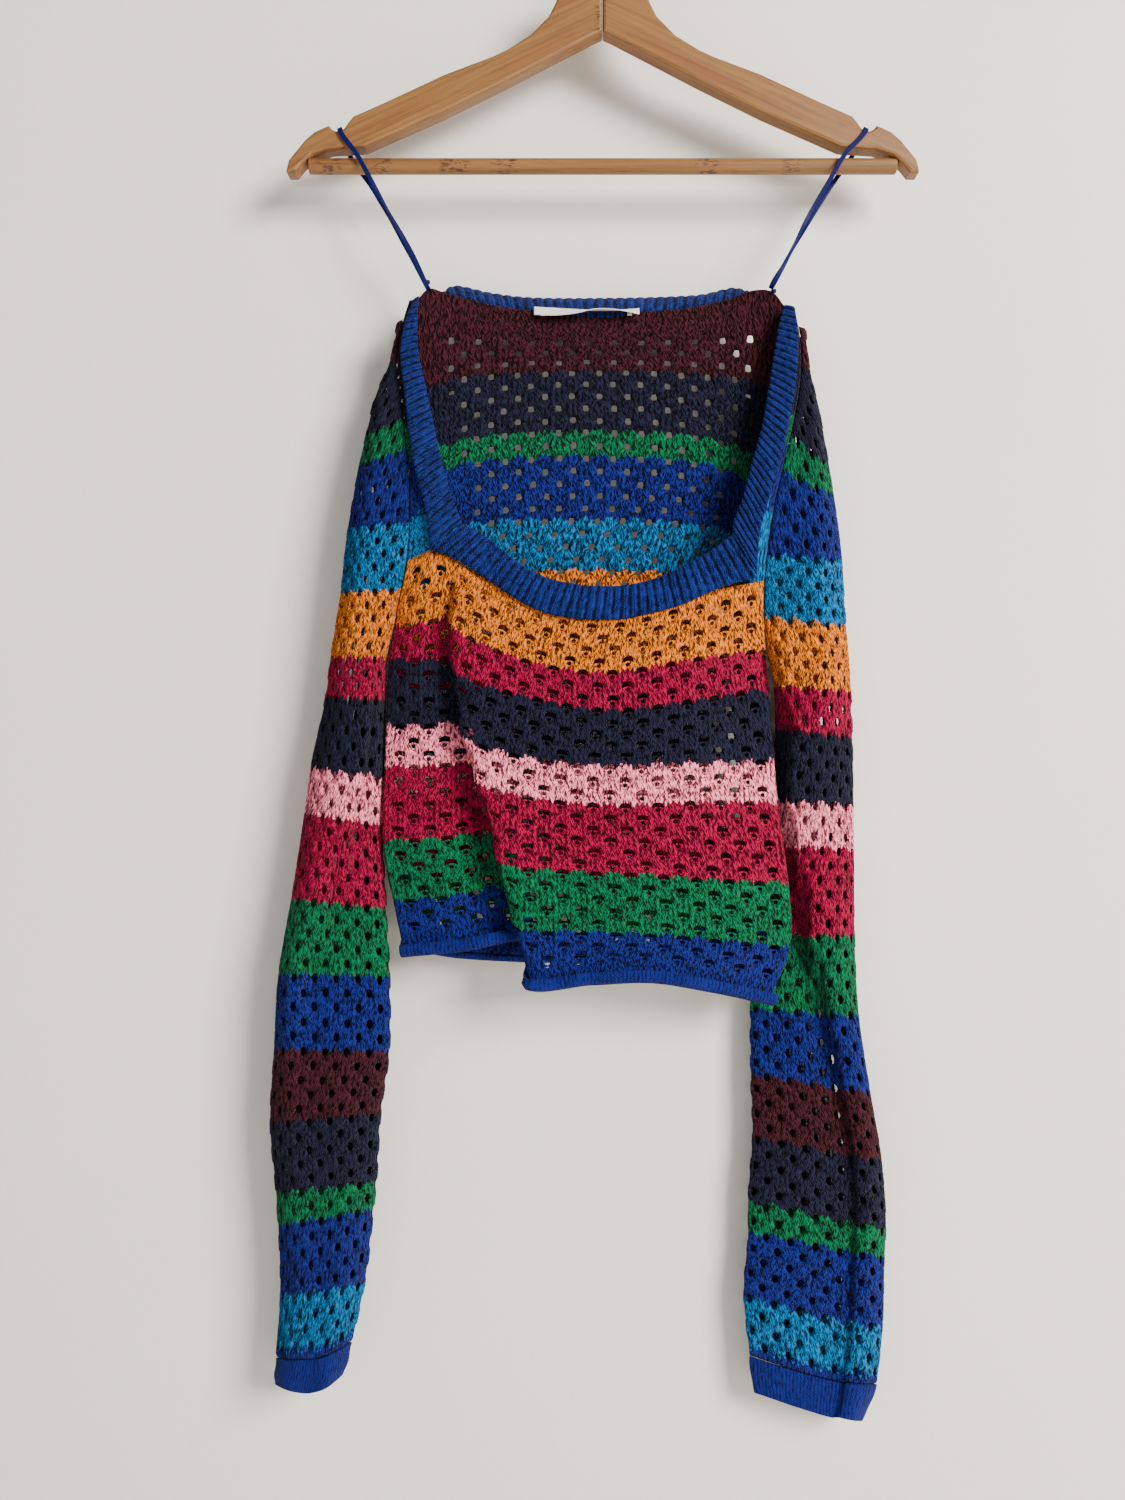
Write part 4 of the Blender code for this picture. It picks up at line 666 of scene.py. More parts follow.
def stitch_rows(wales: float, courses: float, unit_mm: tuple[float, float],
                slub: float) -> list[tuple]:
    """Describe stocking stitch: leaning legs in each wale, made uneven by the slub of the yarn.

    A real stitch is about 2.4 mm wide, too fine to show in the render; it is drawn up to
    3.4 mm wide, as coarse as it needs to show.

    Args:
        wales: Wales in one unit of the knit map across.
        courses: Courses in one unit of it down.
        unit_mm: Millimetres in one unit of the map, across and down.
        slub: How uneven the yarn is.

    Returns:
        Rows of nodes that end in the height of the yarn, from 0 to 1.
    """
    wide, tall = unit_mm
    return [
        ("map", "UVMap", {"uv_map": KNIT_MAP}, {}),
        ("cut", "SeparateXYZ", {}, {0: "map"}),
        ("mm", "Mapping", {}, {"Vector": "map", "Scale": (wide, tall, 1.0)}),
        ("drawn", "Mapping", {}, {"Vector": "map", "Scale": (0.5 * wide, 0.26 * tall, 1.0)}),
        ("fine", "TexNoise", {}, {"Vector": "mm", "Scale": 0.14, "Detail": 2.0}),
        ("tone", "TexNoise", {}, {"Vector": "mm", "Scale": 0.05, "Detail": 2.0}),
        ("stray", "TexNoise", {}, {"Vector": "drawn", "Scale": 1.0, "Detail": 1.5, "Roughness": 0.6}),
        ("sway", "Math", TIMES_PLUS, {0: "fine", 1: 0.9, 2: -0.45}),
        ("across", "Math", TIMES_PLUS, {0: "cut.X", 1: wales, 2: "sway"}),
        ("wale", "Math", {"operation": "FRACT"}, {0: "across"}),
        ("half", "Math", {"operation": "SUBTRACT"}, {0: "wale", 1: 0.5}),
        ("side", "Math", {"operation": "ABSOLUTE"}, {0: "half"}),
        ("down", "Math", TIMES_PLUS, {0: "cut.Y", 1: courses, 2: "sway"}),
        ("lean", "Math", TIMES_PLUS, {0: "side", 1: 2.2, 2: "down"}),
        ("round", "Math", TIMES, {0: "lean", 1: TURN}),
        ("wave", "Math", {"operation": "SINE"}, {0: "round"}),
        ("leg", "Math", TIMES_PLUS, {0: "wave", 1: 0.3, 2: 0.62}),
        ("square", "Math", TIMES, {0: "side", 1: "side"}),
        ("crown", "Math", TIMES_PLUS, {0: "square", 1: -2.6, 2: 1.0}),
        ("yarn", "Math", TIMES, {0: "leg", 1: "crown"}),
        ("rough", "Math", TIMES_PLUS, {0: "stray", 1: slub, 2: -0.48 * slub}),
        ("height", "Math", HELD_PLUS, {0: "yarn", 1: "rough"}),
    ]


def knit_material(name: str, rows: list[tuple], colour: str | tuple, relief: float,
                  gaps: float = 0.24) -> bpy.types.Material:
    """Make a matt yarn with a faint halo of loose fibres, raised by its height, painted paler on its high
    parts and in painted shade on its low ones.

    Args:
        name: What the real material is.
        rows: Nodes with the tone and the height of the yarn among them.
        colour: The yarn's own colour, or the node that holds it.
        relief: How far the yarn stands up, in millimetres.
        gaps: How much painted shade shows in the low parts between the loops.

    Returns:
        The material.
    """
    values = {"Roughness": 0.95, "Sheen Weight": 0.03, "Sheen Roughness": 0.5, "Specular IOR Level": 0.1}
    return new_material(name, values, [
        *rows,
        # painted shade and painted light: a darker copy of the yarn's colour for the low parts between the
        # loops and a paler copy for the high parts, mixed by the height and a random tone
        ("painted_shaded_yarn", "HueSaturation", {}, {"Saturation": 1.2, "Value": 0.1, "Color": colour}),
        ("pale", "HueSaturation", {}, {"Saturation": 1.0, "Value": 1.2, "Color": colour}),
        ("light", "Math", TIMES_PLUS, {0: "tone", 1: 0.7, 2: -0.25}),
        ("sum", "Math", PLUS, {0: "height", 1: "light"}),
        ("part", "Math", HELD_TIMES_PLUS, {0: "sum", 1: 1.5, 2: -gaps}),
        ("shade", "Mix", COLOURS, {0: "part", 6: "painted_shaded_yarn", 7: "pale"}),
        ("bump", "Bump", {}, {"Strength": 1.0, "Distance": relief * MM, "Height": "height"}),
    ], {"Base Color": "shade", "Normal": "bump"})


@dataclass(frozen=True)
class StripedLace:
    """Soft brushed cotton blend knitted as eyelet lace: matt, hairy, with scalloped stripes.

    Each stripe starts at its count of rows down, out of the whole length in rows.
    """

    name: str
    stripes: tuple[tuple[float, Yarn], ...]
    length: float
    unit_mm: tuple[float, float]
    wales: float = 6.0
    courses: float = 2.0
    scallop: float = 0.17
    # gaps: how much painted shade shows between the loops
    gaps: float = 0.24
    slub: float = 3.0
    relief: float = 1.5

    def make(self) -> bpy.types.Material:
        """Make the material.

        Returns:
            The material, which reads repeats and rows from the knit map.
        """
        stops = [(start / self.length, yarn.value) for start, yarn in self.stripes]
        return knit_material(self.name, [
            *stitch_rows(self.wales, self.courses, self.unit_mm, self.slub),
            ("next", "Math", {"operation": "ROUND"}, {0: "cut.Y"}),
            ("drop", "Math", TIMES_PLUS, {0: "next", 1: 0.5, 2: "cut.X"}),
            ("swing", "Math", TIMES, {0: "drop", 1: TURN}),
            ("curve", "Math", {"operation": "COSINE"}, {0: "swing"}),
            ("tooth", "Math", TIMES_PLUS, {0: "side", 1: 0.5, 2: -0.125}),
            ("edge", "Math", TIMES_PLUS, {0: "curve", 1: -self.scallop, 2: "tooth"}),
            ("ragged", "Math", TIMES_PLUS, {0: "stray", 1: 0.55, 2: "edge"}),
            ("raised", "Math", {"operation": "SUBTRACT"}, {0: "ragged", 1: 0.27}),
            ("course", "Math", PLUS, {0: "cut.Y", 1: "raised"}),
            ("share", "Math", {"operation": "DIVIDE"}, {0: "course", 1: self.length}),
            ("stripe", "ValToRGB", {"interpolation": "CONSTANT", "stops": stops}, {0: "share"}),
        ], "stripe", self.relief, self.gaps)


@dataclass(frozen=True)
class PlainKnit:
    """Royal blue stocking stitch of the same yarn: even, matt, its wales just readable."""

    name: str
    colour: str
    relief: float = 0.7
    # groove: how far the grooves between pairs of wales sink, in the bump and in painted shade
    groove: float = 0.0
    stitch_mm: tuple[float, float] = (2.6, 2.0)
    slub: float = 1.3

    def make(self) -> bpy.types.Material:
        """Make the material.

        Returns:
            The material, which reads wales and courses from the knit map.
        """
        *rows, _ = stitch_rows(1.0, 1.0, self.stitch_mm, self.slub)
        return knit_material(self.name, [
            *rows,
            # lower grooves between pairs of wales, which the shade mix also darkens with painted shade
            ("swing", "Math", TIMES, {0: "cut.X", 1: 0.5 * TURN}),
            ("pair", "Math", {"operation": "COSINE"}, {0: "swing"}),
            ("rib", "Math", TIMES_PLUS, {0: "pair", 1: self.groove, 2: 1.0 - self.groove}),
            ("open", "Math", TIMES, {0: "yarn", 1: "rib"}),
            ("height", "Math", HELD_PLUS, {0: "open", 1: "rough"}),
        ], linear(self.colour), self.relief)


@dataclass(frozen=True)
class Beech:
    """Planed beech under clear satin lacquer: straight fine grain, dark flecks, soft gloss."""

    name: str
    lean: float
    marks: tuple[tuple[float, float], ...] = ()

    def make(self) -> bpy.types.Material:
        """Make the material.

        Returns:
            The material, whose grain runs along X turned by the lean; dark streaks lie
            between each pair of places on X in marks, in millimetres.
        """
        # scales are patches in a metre: the grain's are 110 mm long and 2 to 3 mm wide, and
        # the flecks' 14 mm long and 1 to 2 mm wide, coarser than the real ones, to show;
        # the reach ramp spans 400 mm of X with 0 in its middle, and a mark fades over 3 mm
        marks = [(0.0, "#000000")]
        for first, last in self.marks:
            ends = (first - 3.0, "#000000"), (first, "#ffffff"), (last, "#ffffff"), (last + 3.0, "#000000")
            marks += [(0.0025 * where + 0.5, shade) for where, shade in ends]
        marks.append((1.0, "#000000"))
        wood = (0.28, "#613e1a"), (0.45, "#795226"), (0.60, "#835b2d"), (0.78, "#8c6534")
        warm = (0.25, "#d9a87a"), (0.55, "#ffffff"), (0.8, "#f0d8b8")
        spots = (0.30, "#b48c66"), (0.42, "#ffffff")
        return new_material(self.name, {"Roughness": 0.55, "Coat Weight": 0.12, "Coat Roughness": 0.3}, [
            ("place", "TexCoord", {}, {}),
            ("turned", "Mapping", {}, {"Vector": "place.Object", "Rotation": (0.0, self.lean, 0.0)}),
            ("long", "Mapping", {}, {"Vector": "turned", "Scale": (9.0, 300.0, 520.0)}),
            ("fleck", "Mapping", {}, {"Vector": "turned", "Scale": (70.0, 600.0, 1500.0)}),
            ("broad", "Mapping", {}, {"Vector": "turned", "Scale": (6.0, 60.0, 90.0)}),
            ("grain", "TexNoise", {}, {"Vector": "long", "Scale": 1.0, "Detail": 5.0, "Roughness": 0.6,
                                       "Distortion": 0.3}),
            ("flecks", "TexNoise", {}, {"Vector": "fleck", "Scale": 1.0, "Detail": 2.0}),
            ("bands", "TexNoise", {}, {"Vector": "broad", "Scale": 1.0, "Detail": 2.0}),
            ("wood", "ValToRGB", {"stops": wood}, {0: "grain"}),
            ("spots", "ValToRGB", {"stops": spots}, {0: "flecks"}),
            ("warm", "ValToRGB", {"stops": warm}, {0: "bands"}),
            ("specked", "Mix", TINT, {0: 0.55, 6: "wood", 7: "spots"}),
            ("toned", "Mix", TINT, {0: 0.8, 6: "specked", 7: "warm"}),
            ("bump", "Bump", {}, {"Strength": 0.25, "Distance": 0.0002, "Height": "grain"}),
            ("cut", "SeparateXYZ", {}, {0: "place.Object"}),
            ("along", "Math", TIMES_PLUS, {0: "cut.X", 1: 2.5, 2: 0.5}),
            ("reach", "ValToRGB", {"stops": marks}, {0: "along"}),
            ("streak", "Mapping", {}, {"Vector": "place.Object", "Scale": (130.0, 420.0, 420.0)}),
            ("wisp", "TexNoise", {}, {"Vector": "streak", "Scale": 1.0, "Detail": 3.0, "Distortion": 1.2}),
            ("dark", "Math", HELD_TIMES_PLUS, {0: "wisp", 1: 14.0, 2: -7.3}),
            ("spot", "Math", TIMES, {0: "dark", 1: "reach"}),
            ("marked", "Mix", COLOURS, {0: "spot", 6: "toned", 7: linear("#4a2810")}),
        ], {"Base Color": "marked", "Normal": "bump"})


@dataclass(frozen=True)
class SatinRibbon:
    """Navy polyester satin: a tight weave with a long soft highlight."""

    name: str = "navy_polyester_satin"
    colour: str = "#04083c"

    def make(self) -> bpy.types.Material:
        """Make the material."""
        # picks lie about 0.9 mm apart, drawn coarser than the real ones so that they show
        return new_material(self.name, {"Roughness": 0.5, "Specular IOR Level": 0.12}, [
            ("map", "UVMap", {"uv_map": KNIT_MAP}, {}),
            ("picks", "TexWave", {"bands_direction": "X"},
             {"Vector": "map", "Scale": 1.2, "Distortion": 0.6, "Detail": 2.0}),
            ("dye", "Mix", COLOURS, {0: "picks", 6: linear(self.colour), 7: linear("#060c4c")}),
            ("bump", "Bump", {}, {"Strength": 0.4, "Distance": 0.0001, "Height": "picks"}),
        ], {"Base Color": "dye", "Normal": "bump"})


@dataclass(frozen=True)
class WovenTape:
    """White polyester label tape: flat, smooth, with a fine square weave."""

    name: str = "white_woven_tape"
    colour: str = "#e9e9e6"

    def make(self) -> bpy.types.Material:
        """Make the material."""
        # threads are squares of 0.4 mm, drawn coarser than the real ones so that they show
        return new_material(self.name, {"Roughness": 0.6, "Sheen Weight": 0.1}, [
            ("place", "TexCoord", {}, {}),
            ("threads", "TexChecker", {}, {"Vector": "place.Object", "Scale": 2500.0}),
            ("dye", "Mix", COLOURS, {0: "threads.Fac", 6: linear(self.colour), 7: linear("#dcdcd8")}),
            ("bump", "Bump", {}, {"Strength": 0.3, "Distance": 0.0001, "Height": "threads.Fac"}),
        ], {"Base Color": "dye", "Normal": "bump"})


@dataclass(frozen=True)
class PlatedWire:
    """Nickel-plated steel wire: bright, with faint drawing marks along it."""

    name: str = "nickel_plated_wire"

    def make(self) -> bpy.types.Material:
        """Make the material."""
        # marks are 1.1 mm long, drawn coarser than the real ones so that they show
        return new_material(self.name, {"Metallic": 1.0, "Roughness": 0.2}, [
            ("place", "TexCoord", {}, {}),
            ("marks", "TexNoise", {}, {"Vector": "place.Object", "Scale": 900.0, "Detail": 3.0}),
            ("tone", "Mix", COLOURS, {0: "marks", 6: linear("#c9c9cc"), 7: linear("#b2b2b6")}),
            ("dull", "Math", TIMES_PLUS, {0: "marks", 1: 0.2, 2: 0.1}),
        ], {"Base Color": "tone", "Roughness": "dull"})


def new_object(name: str, data: bpy.types.ID) -> bpy.types.Object:
    """Put new data into the scene as an object.

    Args:
        name: The object's name.
        data: Its mesh, curve, lamp or lens.

    Returns:
        The object.
    """
    made = bpy.data.objects.new(name, data)
    bpy.context.scene.collection.objects.link(made)
    return made


def knit_map(across: np.ndarray, down: np.ndarray) -> np.ndarray:
    """Pair the knit map's two values at each place, from shapes that fit each other."""
    return np.stack(np.broadcast_arrays(across, down), axis=-1)


def own(piece: bpy.types.Object, slot: str, *nodes: str) -> bpy.types.Object:
    """Let a piece ride on the body and hide the solids that it stands for.

    Args:
        piece: The piece.
        slot: Not used.
        nodes: Names of the solids that it replaces.

    Returns:
        The piece.
    """
    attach(piece, BODY)
    if nodes:
        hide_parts(*nodes)
    return piece


def shell(name: str, grid: np.ndarray, facing: np.ndarray, wall: float | np.ndarray,
          knit: np.ndarray, surface: bpy.types.Material, keep: np.ndarray | None = None,
          closed_from: int | None = None) -> bpy.types.Object:
    """Make a closed thin mesh round the middle of a sheet, with rims round every gap.

    Args:
        name: The piece's name.
        grid: Rows of places in the sheet's middle, in millimetres.
        facing: Which way each place faces.
        wall: Half the sheet's thickness.
        knit: Two map values a place.
        surface: Its material.
        keep: Which squares of the grid there are, or all.
        closed_from: The first row whose last place is its first one again.

    Returns:
        The object.
    """
    rows, columns = grid.shape[:2]
    number = np.arange(rows * columns).reshape(rows, columns)
    joined = number.copy()
    if closed_from is not None:
        joined[closed_from:, -1] = joined[closed_from:, 0]
    keep = np.ones((rows - 1, columns - 1), bool) if keep is None else keep
    corners = [(slice(None, -1), slice(None, -1)), (slice(1, None), slice(None, -1)),
               (slice(1, None), slice(1, None)), (slice(None, -1), slice(1, None))]
    quads = np.stack([joined[a, b][keep] for a, b in corners], axis=1)
    spots = np.stack([number[a, b][keep] for a, b in corners], axis=1)
    total = rows * columns
    starts = quads.ravel()
    ends = np.roll(quads, -1, axis=1).ravel()
    lone = ~np.isin(starts * total + ends, ends * total + starts)
    a, b = starts[lone], ends[lone]
    spot_a, spot_b = spots.ravel()[lone], np.roll(spots, -1, axis=1).ravel()[lone]
    faces = np.vstack([quads, quads[:, ::-1] + total, np.stack([b, a, a + total, b + total], axis=1)])
    where = np.vstack([spots, spots[:, ::-1], np.stack([spot_b, spot_a, spot_a, spot_b], axis=1)])
    used, compact = np.unique(faces, return_inverse=True)
    faced = [(grid + side * facing * wall).reshape(-1, 3) for side in (1.0, -1.0)]
    places = np.vstack(faced)[used] * MM
    mesh = bpy.data.meshes.new(name)
    mesh.from_pydata(places.tolist(), [], compact.reshape(-1, 4).tolist())
    layer = mesh.uv_layers.new(name=KNIT_MAP)
    layer.uv.foreach_set("vector", knit.reshape(-1, 2)[where.ravel()].astype(np.float32).ravel())
    mesh.materials.append(surface)
    mesh.shade_smooth()
    mesh.update()
    return new_object(name, mesh)


@dataclass(frozen=True)
class Eyelets:
    """How one repeat of the half-drop lace is drawn.

    Lines are heights in one row of eyelets; gaps are how many squares each side of the
    eyelet's middle are open below a line; lift and widen move the line's places by
    their distance from that middle, in parts of a row and of a square. Uneven is how far
    an eyelet strays, in squares; thin and swell are the wall's factors at a rim and
    between eyelets, rib how much its columns differ, and edge the squares kept whole at
    a side. Phase moves all eyelets over by so many squares.
    """

    squares: int
    lines: tuple[float, ...]
    gaps: tuple[int, ...]
    lift: tuple[tuple[float, ...], ...]
    widen: tuple[tuple[float, ...], ...]
    uneven: float = 0.25
    thin: float = 0.45
    swell: float = 0.5
    rib: float = 0.28
    edge: float = 1.2
    phase: int = 0


ARCHED = Eyelets(
    squares=12,
    lines=(0.0, 0.32, 0.44, 0.68, 0.80, 0.90),
    gaps=(2, 0, 1, 0, 1, 0),
    lift=((-0.15, -0.10, 0.06, 0.04), (-0.05, -0.01, 0.06, 0.03), (-0.05, 0.02, 0.03, 0.0),
          (0.04, -0.03, 0.0, 0.0), (0.05, 0.02, 0.0, 0.0), (0.03, -0.03, 0.0, 0.0)),
    widen=((0.0, 0.0, 0.1, 0.1), (0.0, 0.0, 0.2, 0.1), (0.0, 0.05, 0.0, 0.0),
           (0.0, -0.2, 0.0, 0.0), (0.0, -0.35, 0.0, 0.0), (0.0, -0.5, 0.0, 0.0)),
)
LOAF = Eyelets(
    squares=10,
    lines=(0.04, 0.24, 0.45, 0.76),
    gaps=(2, 2, 0, 0),
    lift=((-0.06, -0.04, 0.14, 0.05), (0.0, 0.0, 0.0, 0.0), (0.05, 0.03, -0.06, 0.0),
          (0.0, 0.0, 0.0, 0.0)),
    widen=((0.0, -0.2, -0.95, -0.3), (0.0, -0.1, -0.85, -0.2), (0.0, -0.2, -0.95, -0.2),
           (0.0, 0.0, 0.0, 0.0)),
    uneven=0.45,
    thin=0.7,
    edge=11.0,
)
ROUND = Eyelets(
    squares=10,
    lines=(0.0, 0.24, 0.50, 0.76),
    gaps=(2, 2, 0, 0),
    lift=((-0.07, -0.03, 0.10, 0.03), (0.0, 0.0, 0.0, 0.0), (0.08, 0.03, -0.08, -0.03),
          (0.0, 0.0, 0.0, 0.0)),
    widen=((0.0, -0.2, -0.75, -0.2), (0.0, -0.1, -0.55, -0.2), (0.0, -0.3, -0.95, -0.3),
           (0.0, 0.0, 0.0, 0.0)),
    uneven=0.3,
)


@dataclass
class LacePanel:
    """A lace sheet on its stack of levels, counted in repeats across and rows down.

    Repeat and row are their sizes in millimetres. Above body_level the repeats follow the
    width, below it there are always body_repeats. Each seam is the side, the table, the gap
    and the reach of pull_edge; each crease is its place across at its start and end, its
    first and last row, its width and its depth. An eyelet is drawn taller or lower by the
    stretch and strays up or down by a part of a row, over near_squares each side. Slit
    closes one side of a tube's eyelets, in squares; tail is where the last yarn starts, in
    rows before the end. Fine is the drawn rows in one row of eyelets, plain_rows those at
    the top without eyelets, and gaps the painted shade that shows between the loops.
    """

    name: str
    levels: list[np.ndarray]
    stripes: tuple[Yarn | None, ...]
    repeat: float
    row: float
    eyelets: Eyelets
    seed: int
    body_level: int = 0
    body_repeats: float = 0.0
    tube_level: int | None = None
    seams: tuple = ()
    creases: tuple = ()
    fine: int = 6
    plain_rows: int = 1
    last_yarn: Yarn | None = None
    gaps: float = 0.24
    near_squares: float = 4.0
    stretch: float = 0.35
    stray: float = 0.05
    slit: float = 0.6
    tail: float = 0.7

    def rows_at_levels(self) -> tuple[np.ndarray, np.ndarray]:
        """Count rows of eyelets down to each level, whole ones at each change of yarn.

        Returns:
            The way down in millimetres and the count of rows, at each level.
        """
        stack = np.array(self.levels)
        spread = np.linalg.norm(np.diff(stack, axis=0), axis=2).mean(axis=1)
        stops = np.concatenate([[0.0], np.cumsum(spread)])
        fixed = [k for k, yarn in enumerate(self.stripes) if yarn] + [len(stops) - 1]
        counts = [0.0]
        for a, b in zip(fixed, fixed[1:]):
            counts.append(counts[-1] + max(1, round((stops[b] - stops[a]) / self.row)))
        return stops, np.interp(stops, stops[fixed], counts)

    def sheet(self) -> tuple[np.ndarray, np.ndarray, np.ndarray, float]:
        """Draw the sheet finely, in even steps of rows.

        Returns:
            Its places, the count of rows at each drawn row, the repeats across it, and
            the row at which a tube starts.
        """
        stops, counts = self.rows_at_levels()
        length = int(round(counts[-1]))
        wanted = np.linspace(0.0, length, length * self.fine + 1)
        grid = blend(stops, np.array(self.levels), np.interp(wanted, counts, stops))
        closing = float("inf") if self.tube_level is None else counts[self.tube_level]
        pulled = len(wanted) if self.tube_level is None else int(np.ceil(closing * self.fine))
        for last, seam, gap, reach in self.seams:
            pull_edge(grid, pulled, last, seam, gap, reach)
        around = np.array([run_along(line)[-1] for line in grid])
        at_body = np.interp(counts[self.body_level], wanted, around)
        repeats = np.where(wanted < counts[self.body_level],
                           self.body_repeats * around / at_body, self.body_repeats)
        return grid, wanted, repeats, closing

    def build(self) -> bpy.types.Object:
        """Knit the panel.

        Returns:
            Its object.
        """
        grid, wanted, repeats, closing = self.sheet()
        facing = normals(grid)
        lace, squares = self.eyelets, self.eyelets.squares
        per = len(lace.lines)
        length = int(round(wanted[-1]))
        heights = np.append((np.arange(length)[:, None] + np.array(lace.lines)).ravel(), length)
        reach = int(math.ceil(0.5 * repeats.max() * squares - 1e-6))
        i, j = np.meshgrid(np.arange(-reach, reach + 1), np.arange(len(heights)))
        half, line = j // per, j % per
        offset = (half % 2) * (squares // 2) + lace.phase
        nearest = np.round((i - offset) / squares).astype(int)
        away = i - offset - nearest * squares
        rng = np.random.default_rng(self.seed)
        jitter = rng.uniform(-1.0, 1.0, (length + 1, 2 * reach + 3, 3))
        sideways, raised, stretched = np.moveaxis(jitter[half, nearest + reach // squares + 1], -1, 0)
        near = np.clip(1.0 - np.abs(away) / self.near_squares, 0.0, 1.0)
        lift, widen = np.zeros(i.shape), np.zeros(i.shape)
        for k in range(per):
            on = line == k
            for moved, table in ((lift, lace.lift), (widen, lace.widen)):
                moved[on] = np.interp(np.abs(away[on]), range(5), (*table[k], 0.0))
        if self.tube_level is not None:
            widen -= self.slit * ((i > 0) & (np.abs(away) == 2) & (line < 3))
        ends = (j == 0) | (j == len(heights) - 1)
        lift = np.where(ends, 0.0, lift * (1.0 + self.stretch * stretched) + near * self.stray * raised)
        across = (i + np.sign(away) * widen + near * lace.uneven * sideways) / squares
        down = heights[j] + lift
        limit = 0.5 * np.interp(down, wanted, repeats)
        snap = 0.5 / squares
        plain_across = i / squares
        across = np.where(np.abs(plain_across) > limit - snap, np.sign(plain_across) * limit, across)
        across = np.clip(across, -limit, limit)
        keep = self.squares_kept(i, j, heights, wanted, repeats, closing)
        part = across / (2.0 * limit) + 0.5
        places, facing = self.read(grid, facing, down, part, wanted)
        places = places + facing * self.crease(part, down)[..., None]
        ribs = 1.0 + lace.rib * np.where(i % 2 == 1, 1.0, -1.0)
        wall = HALF_WALL * ribs * self.fullness(keep, away)
        knit = knit_map(np.clip(plain_across, -limit, limit), heights[j])
        closed_from = None
        if self.tube_level is not None:
            closed_from = int(np.searchsorted(heights, closing - 1e-6))
        starts = [count for count, yarn in zip(self.rows_at_levels()[1], self.stripes) if yarn]
        yarns = [yarn for yarn in self.stripes if yarn]
        if self.last_yarn:
            starts.append(length - self.tail)
            yarns.append(self.last_yarn)
        surface = StripedLace(f"brushed_lace_knit_{self.name}", tuple(zip(starts, yarns)),
                              float(length), (self.repeat, self.row),
                              0.5 * squares, gaps=self.gaps).make()
        return shell(self.name, places, facing, wall[..., None], knit, surface, keep, closed_from)

    def squares_kept(self, i: np.ndarray, j: np.ndarray, heights: np.ndarray, wanted: np.ndarray,
                     repeats: np.ndarray, closing: float) -> np.ndarray:
        """Tell which squares of the grid are knitted and which are open or past an edge.

        Args:
            i: Column numbers of the places.
            j: Line numbers of the places.
            heights: Rows down to each line.
            wanted: Rows down to each drawn row.
            repeats: Repeats across at each drawn row.
            closing: The row at which a tube starts.

        Returns:
            One truth value a square.
        """
        lace, squares = self.eyelets, self.eyelets.squares
        per = len(lace.lines)
        half, line = j[:-1, :-1] // per, j[:-1, :-1] % per
        offset = (half % 2) * (squares // 2) + lace.phase
        middle = i[:-1, :-1] + 0.5 - offset
        nearest = np.round(middle / squares) * squares
        away = np.abs(middle - nearest)
        down = 0.5 * (heights[j[:-1, :-1]] + heights[j[1:, :-1]])
        limit = 0.5 * np.interp(down, wanted, repeats)
        inside = np.abs((i[:-1, :-1] + 0.5) / squares) < limit
        margin = (np.array(lace.gaps).max() + lace.edge) / squares
        open_edge = down < closing
        clear = (np.abs((nearest + offset) / squares) < limit - margin) | ~open_edge
        ends = (half < self.plain_rows) | (half >= int(wanted[-1]) - 1)
        hole = (away < np.array(lace.gaps)[line]) & clear & ~(ends & (self.tube_level is None))
        return inside & ~hole

    def fullness(self, keep: np.ndarray, away: np.ndarray) -> np.ndarray:
        """Give how thick the knit is at each place, thin at a gap's rim and full between gaps.

        Args:
            keep: Which squares are knitted.
            away: Columns from the nearest eyelet's middle.

        Returns:
            A factor of half the wall.
        """
        padded = np.pad(keep, 1, constant_values=False)
        around = padded[:-1, :-1] & padded[1:, :-1] & padded[:-1, 1:] & padded[1:, 1:]
        full = 1.0 + self.eyelets.swell * np.clip(np.abs(away) / (0.5 * self.eyelets.squares), 0.0, 1.0)
        return np.where(around, full, self.eyelets.thin)

    def crease(self, across: np.ndarray, down: np.ndarray) -> np.ndarray:
        """Sum the soft creases at each place.

        Args:
            across: Part of the width.
            down: Rows down.

        Returns:
            How far the cloth moves along its normal, in millimetres.
        """
        total = np.zeros(across.shape)
        for start, finish, first, last, width, depth in self.creases:
            part = np.clip((down - first) / (last - first), 0.0, 1.0)
            line = start + (finish - start) * part
            total += depth * np.exp(-((across - line) / width) ** 2) * np.sin(math.pi * part) ** 0.7
        return total

    def read(self, grid: np.ndarray, facing: np.ndarray, down: np.ndarray, part: np.ndarray,
             wanted: np.ndarray) -> tuple[np.ndarray, np.ndarray]:
        """Read places and directions off the drawn sheet.

        Args:
            grid: The drawn sheet.
            facing: Its directions.
            down: Rows down to each wanted place.
            part: The part of the width at each wanted place.
            wanted: Rows down to each drawn row.

        Returns:
            The places and the directions.
        """
        row = np.clip(down / wanted[-1], 0.0, 1.0) * (grid.shape[0] - 1)
        column = np.clip(part, 0.0, 1.0) * (grid.shape[1] - 1)
        a = np.minimum(row.astype(int), grid.shape[0] - 2)
        b = np.minimum(column.astype(int), grid.shape[1] - 2)
        s, t = (row - a)[..., None], (column - b)[..., None]
        out = []
        for drawn in (grid, facing):
            top = drawn[a, b] * (1 - t) + drawn[a, b + 1] * t
            low = drawn[a + 1, b] * (1 - t) + drawn[a + 1, b + 1] * t
            out.append(top * (1 - s) + low * s)
        return out[0], unit(out[1])


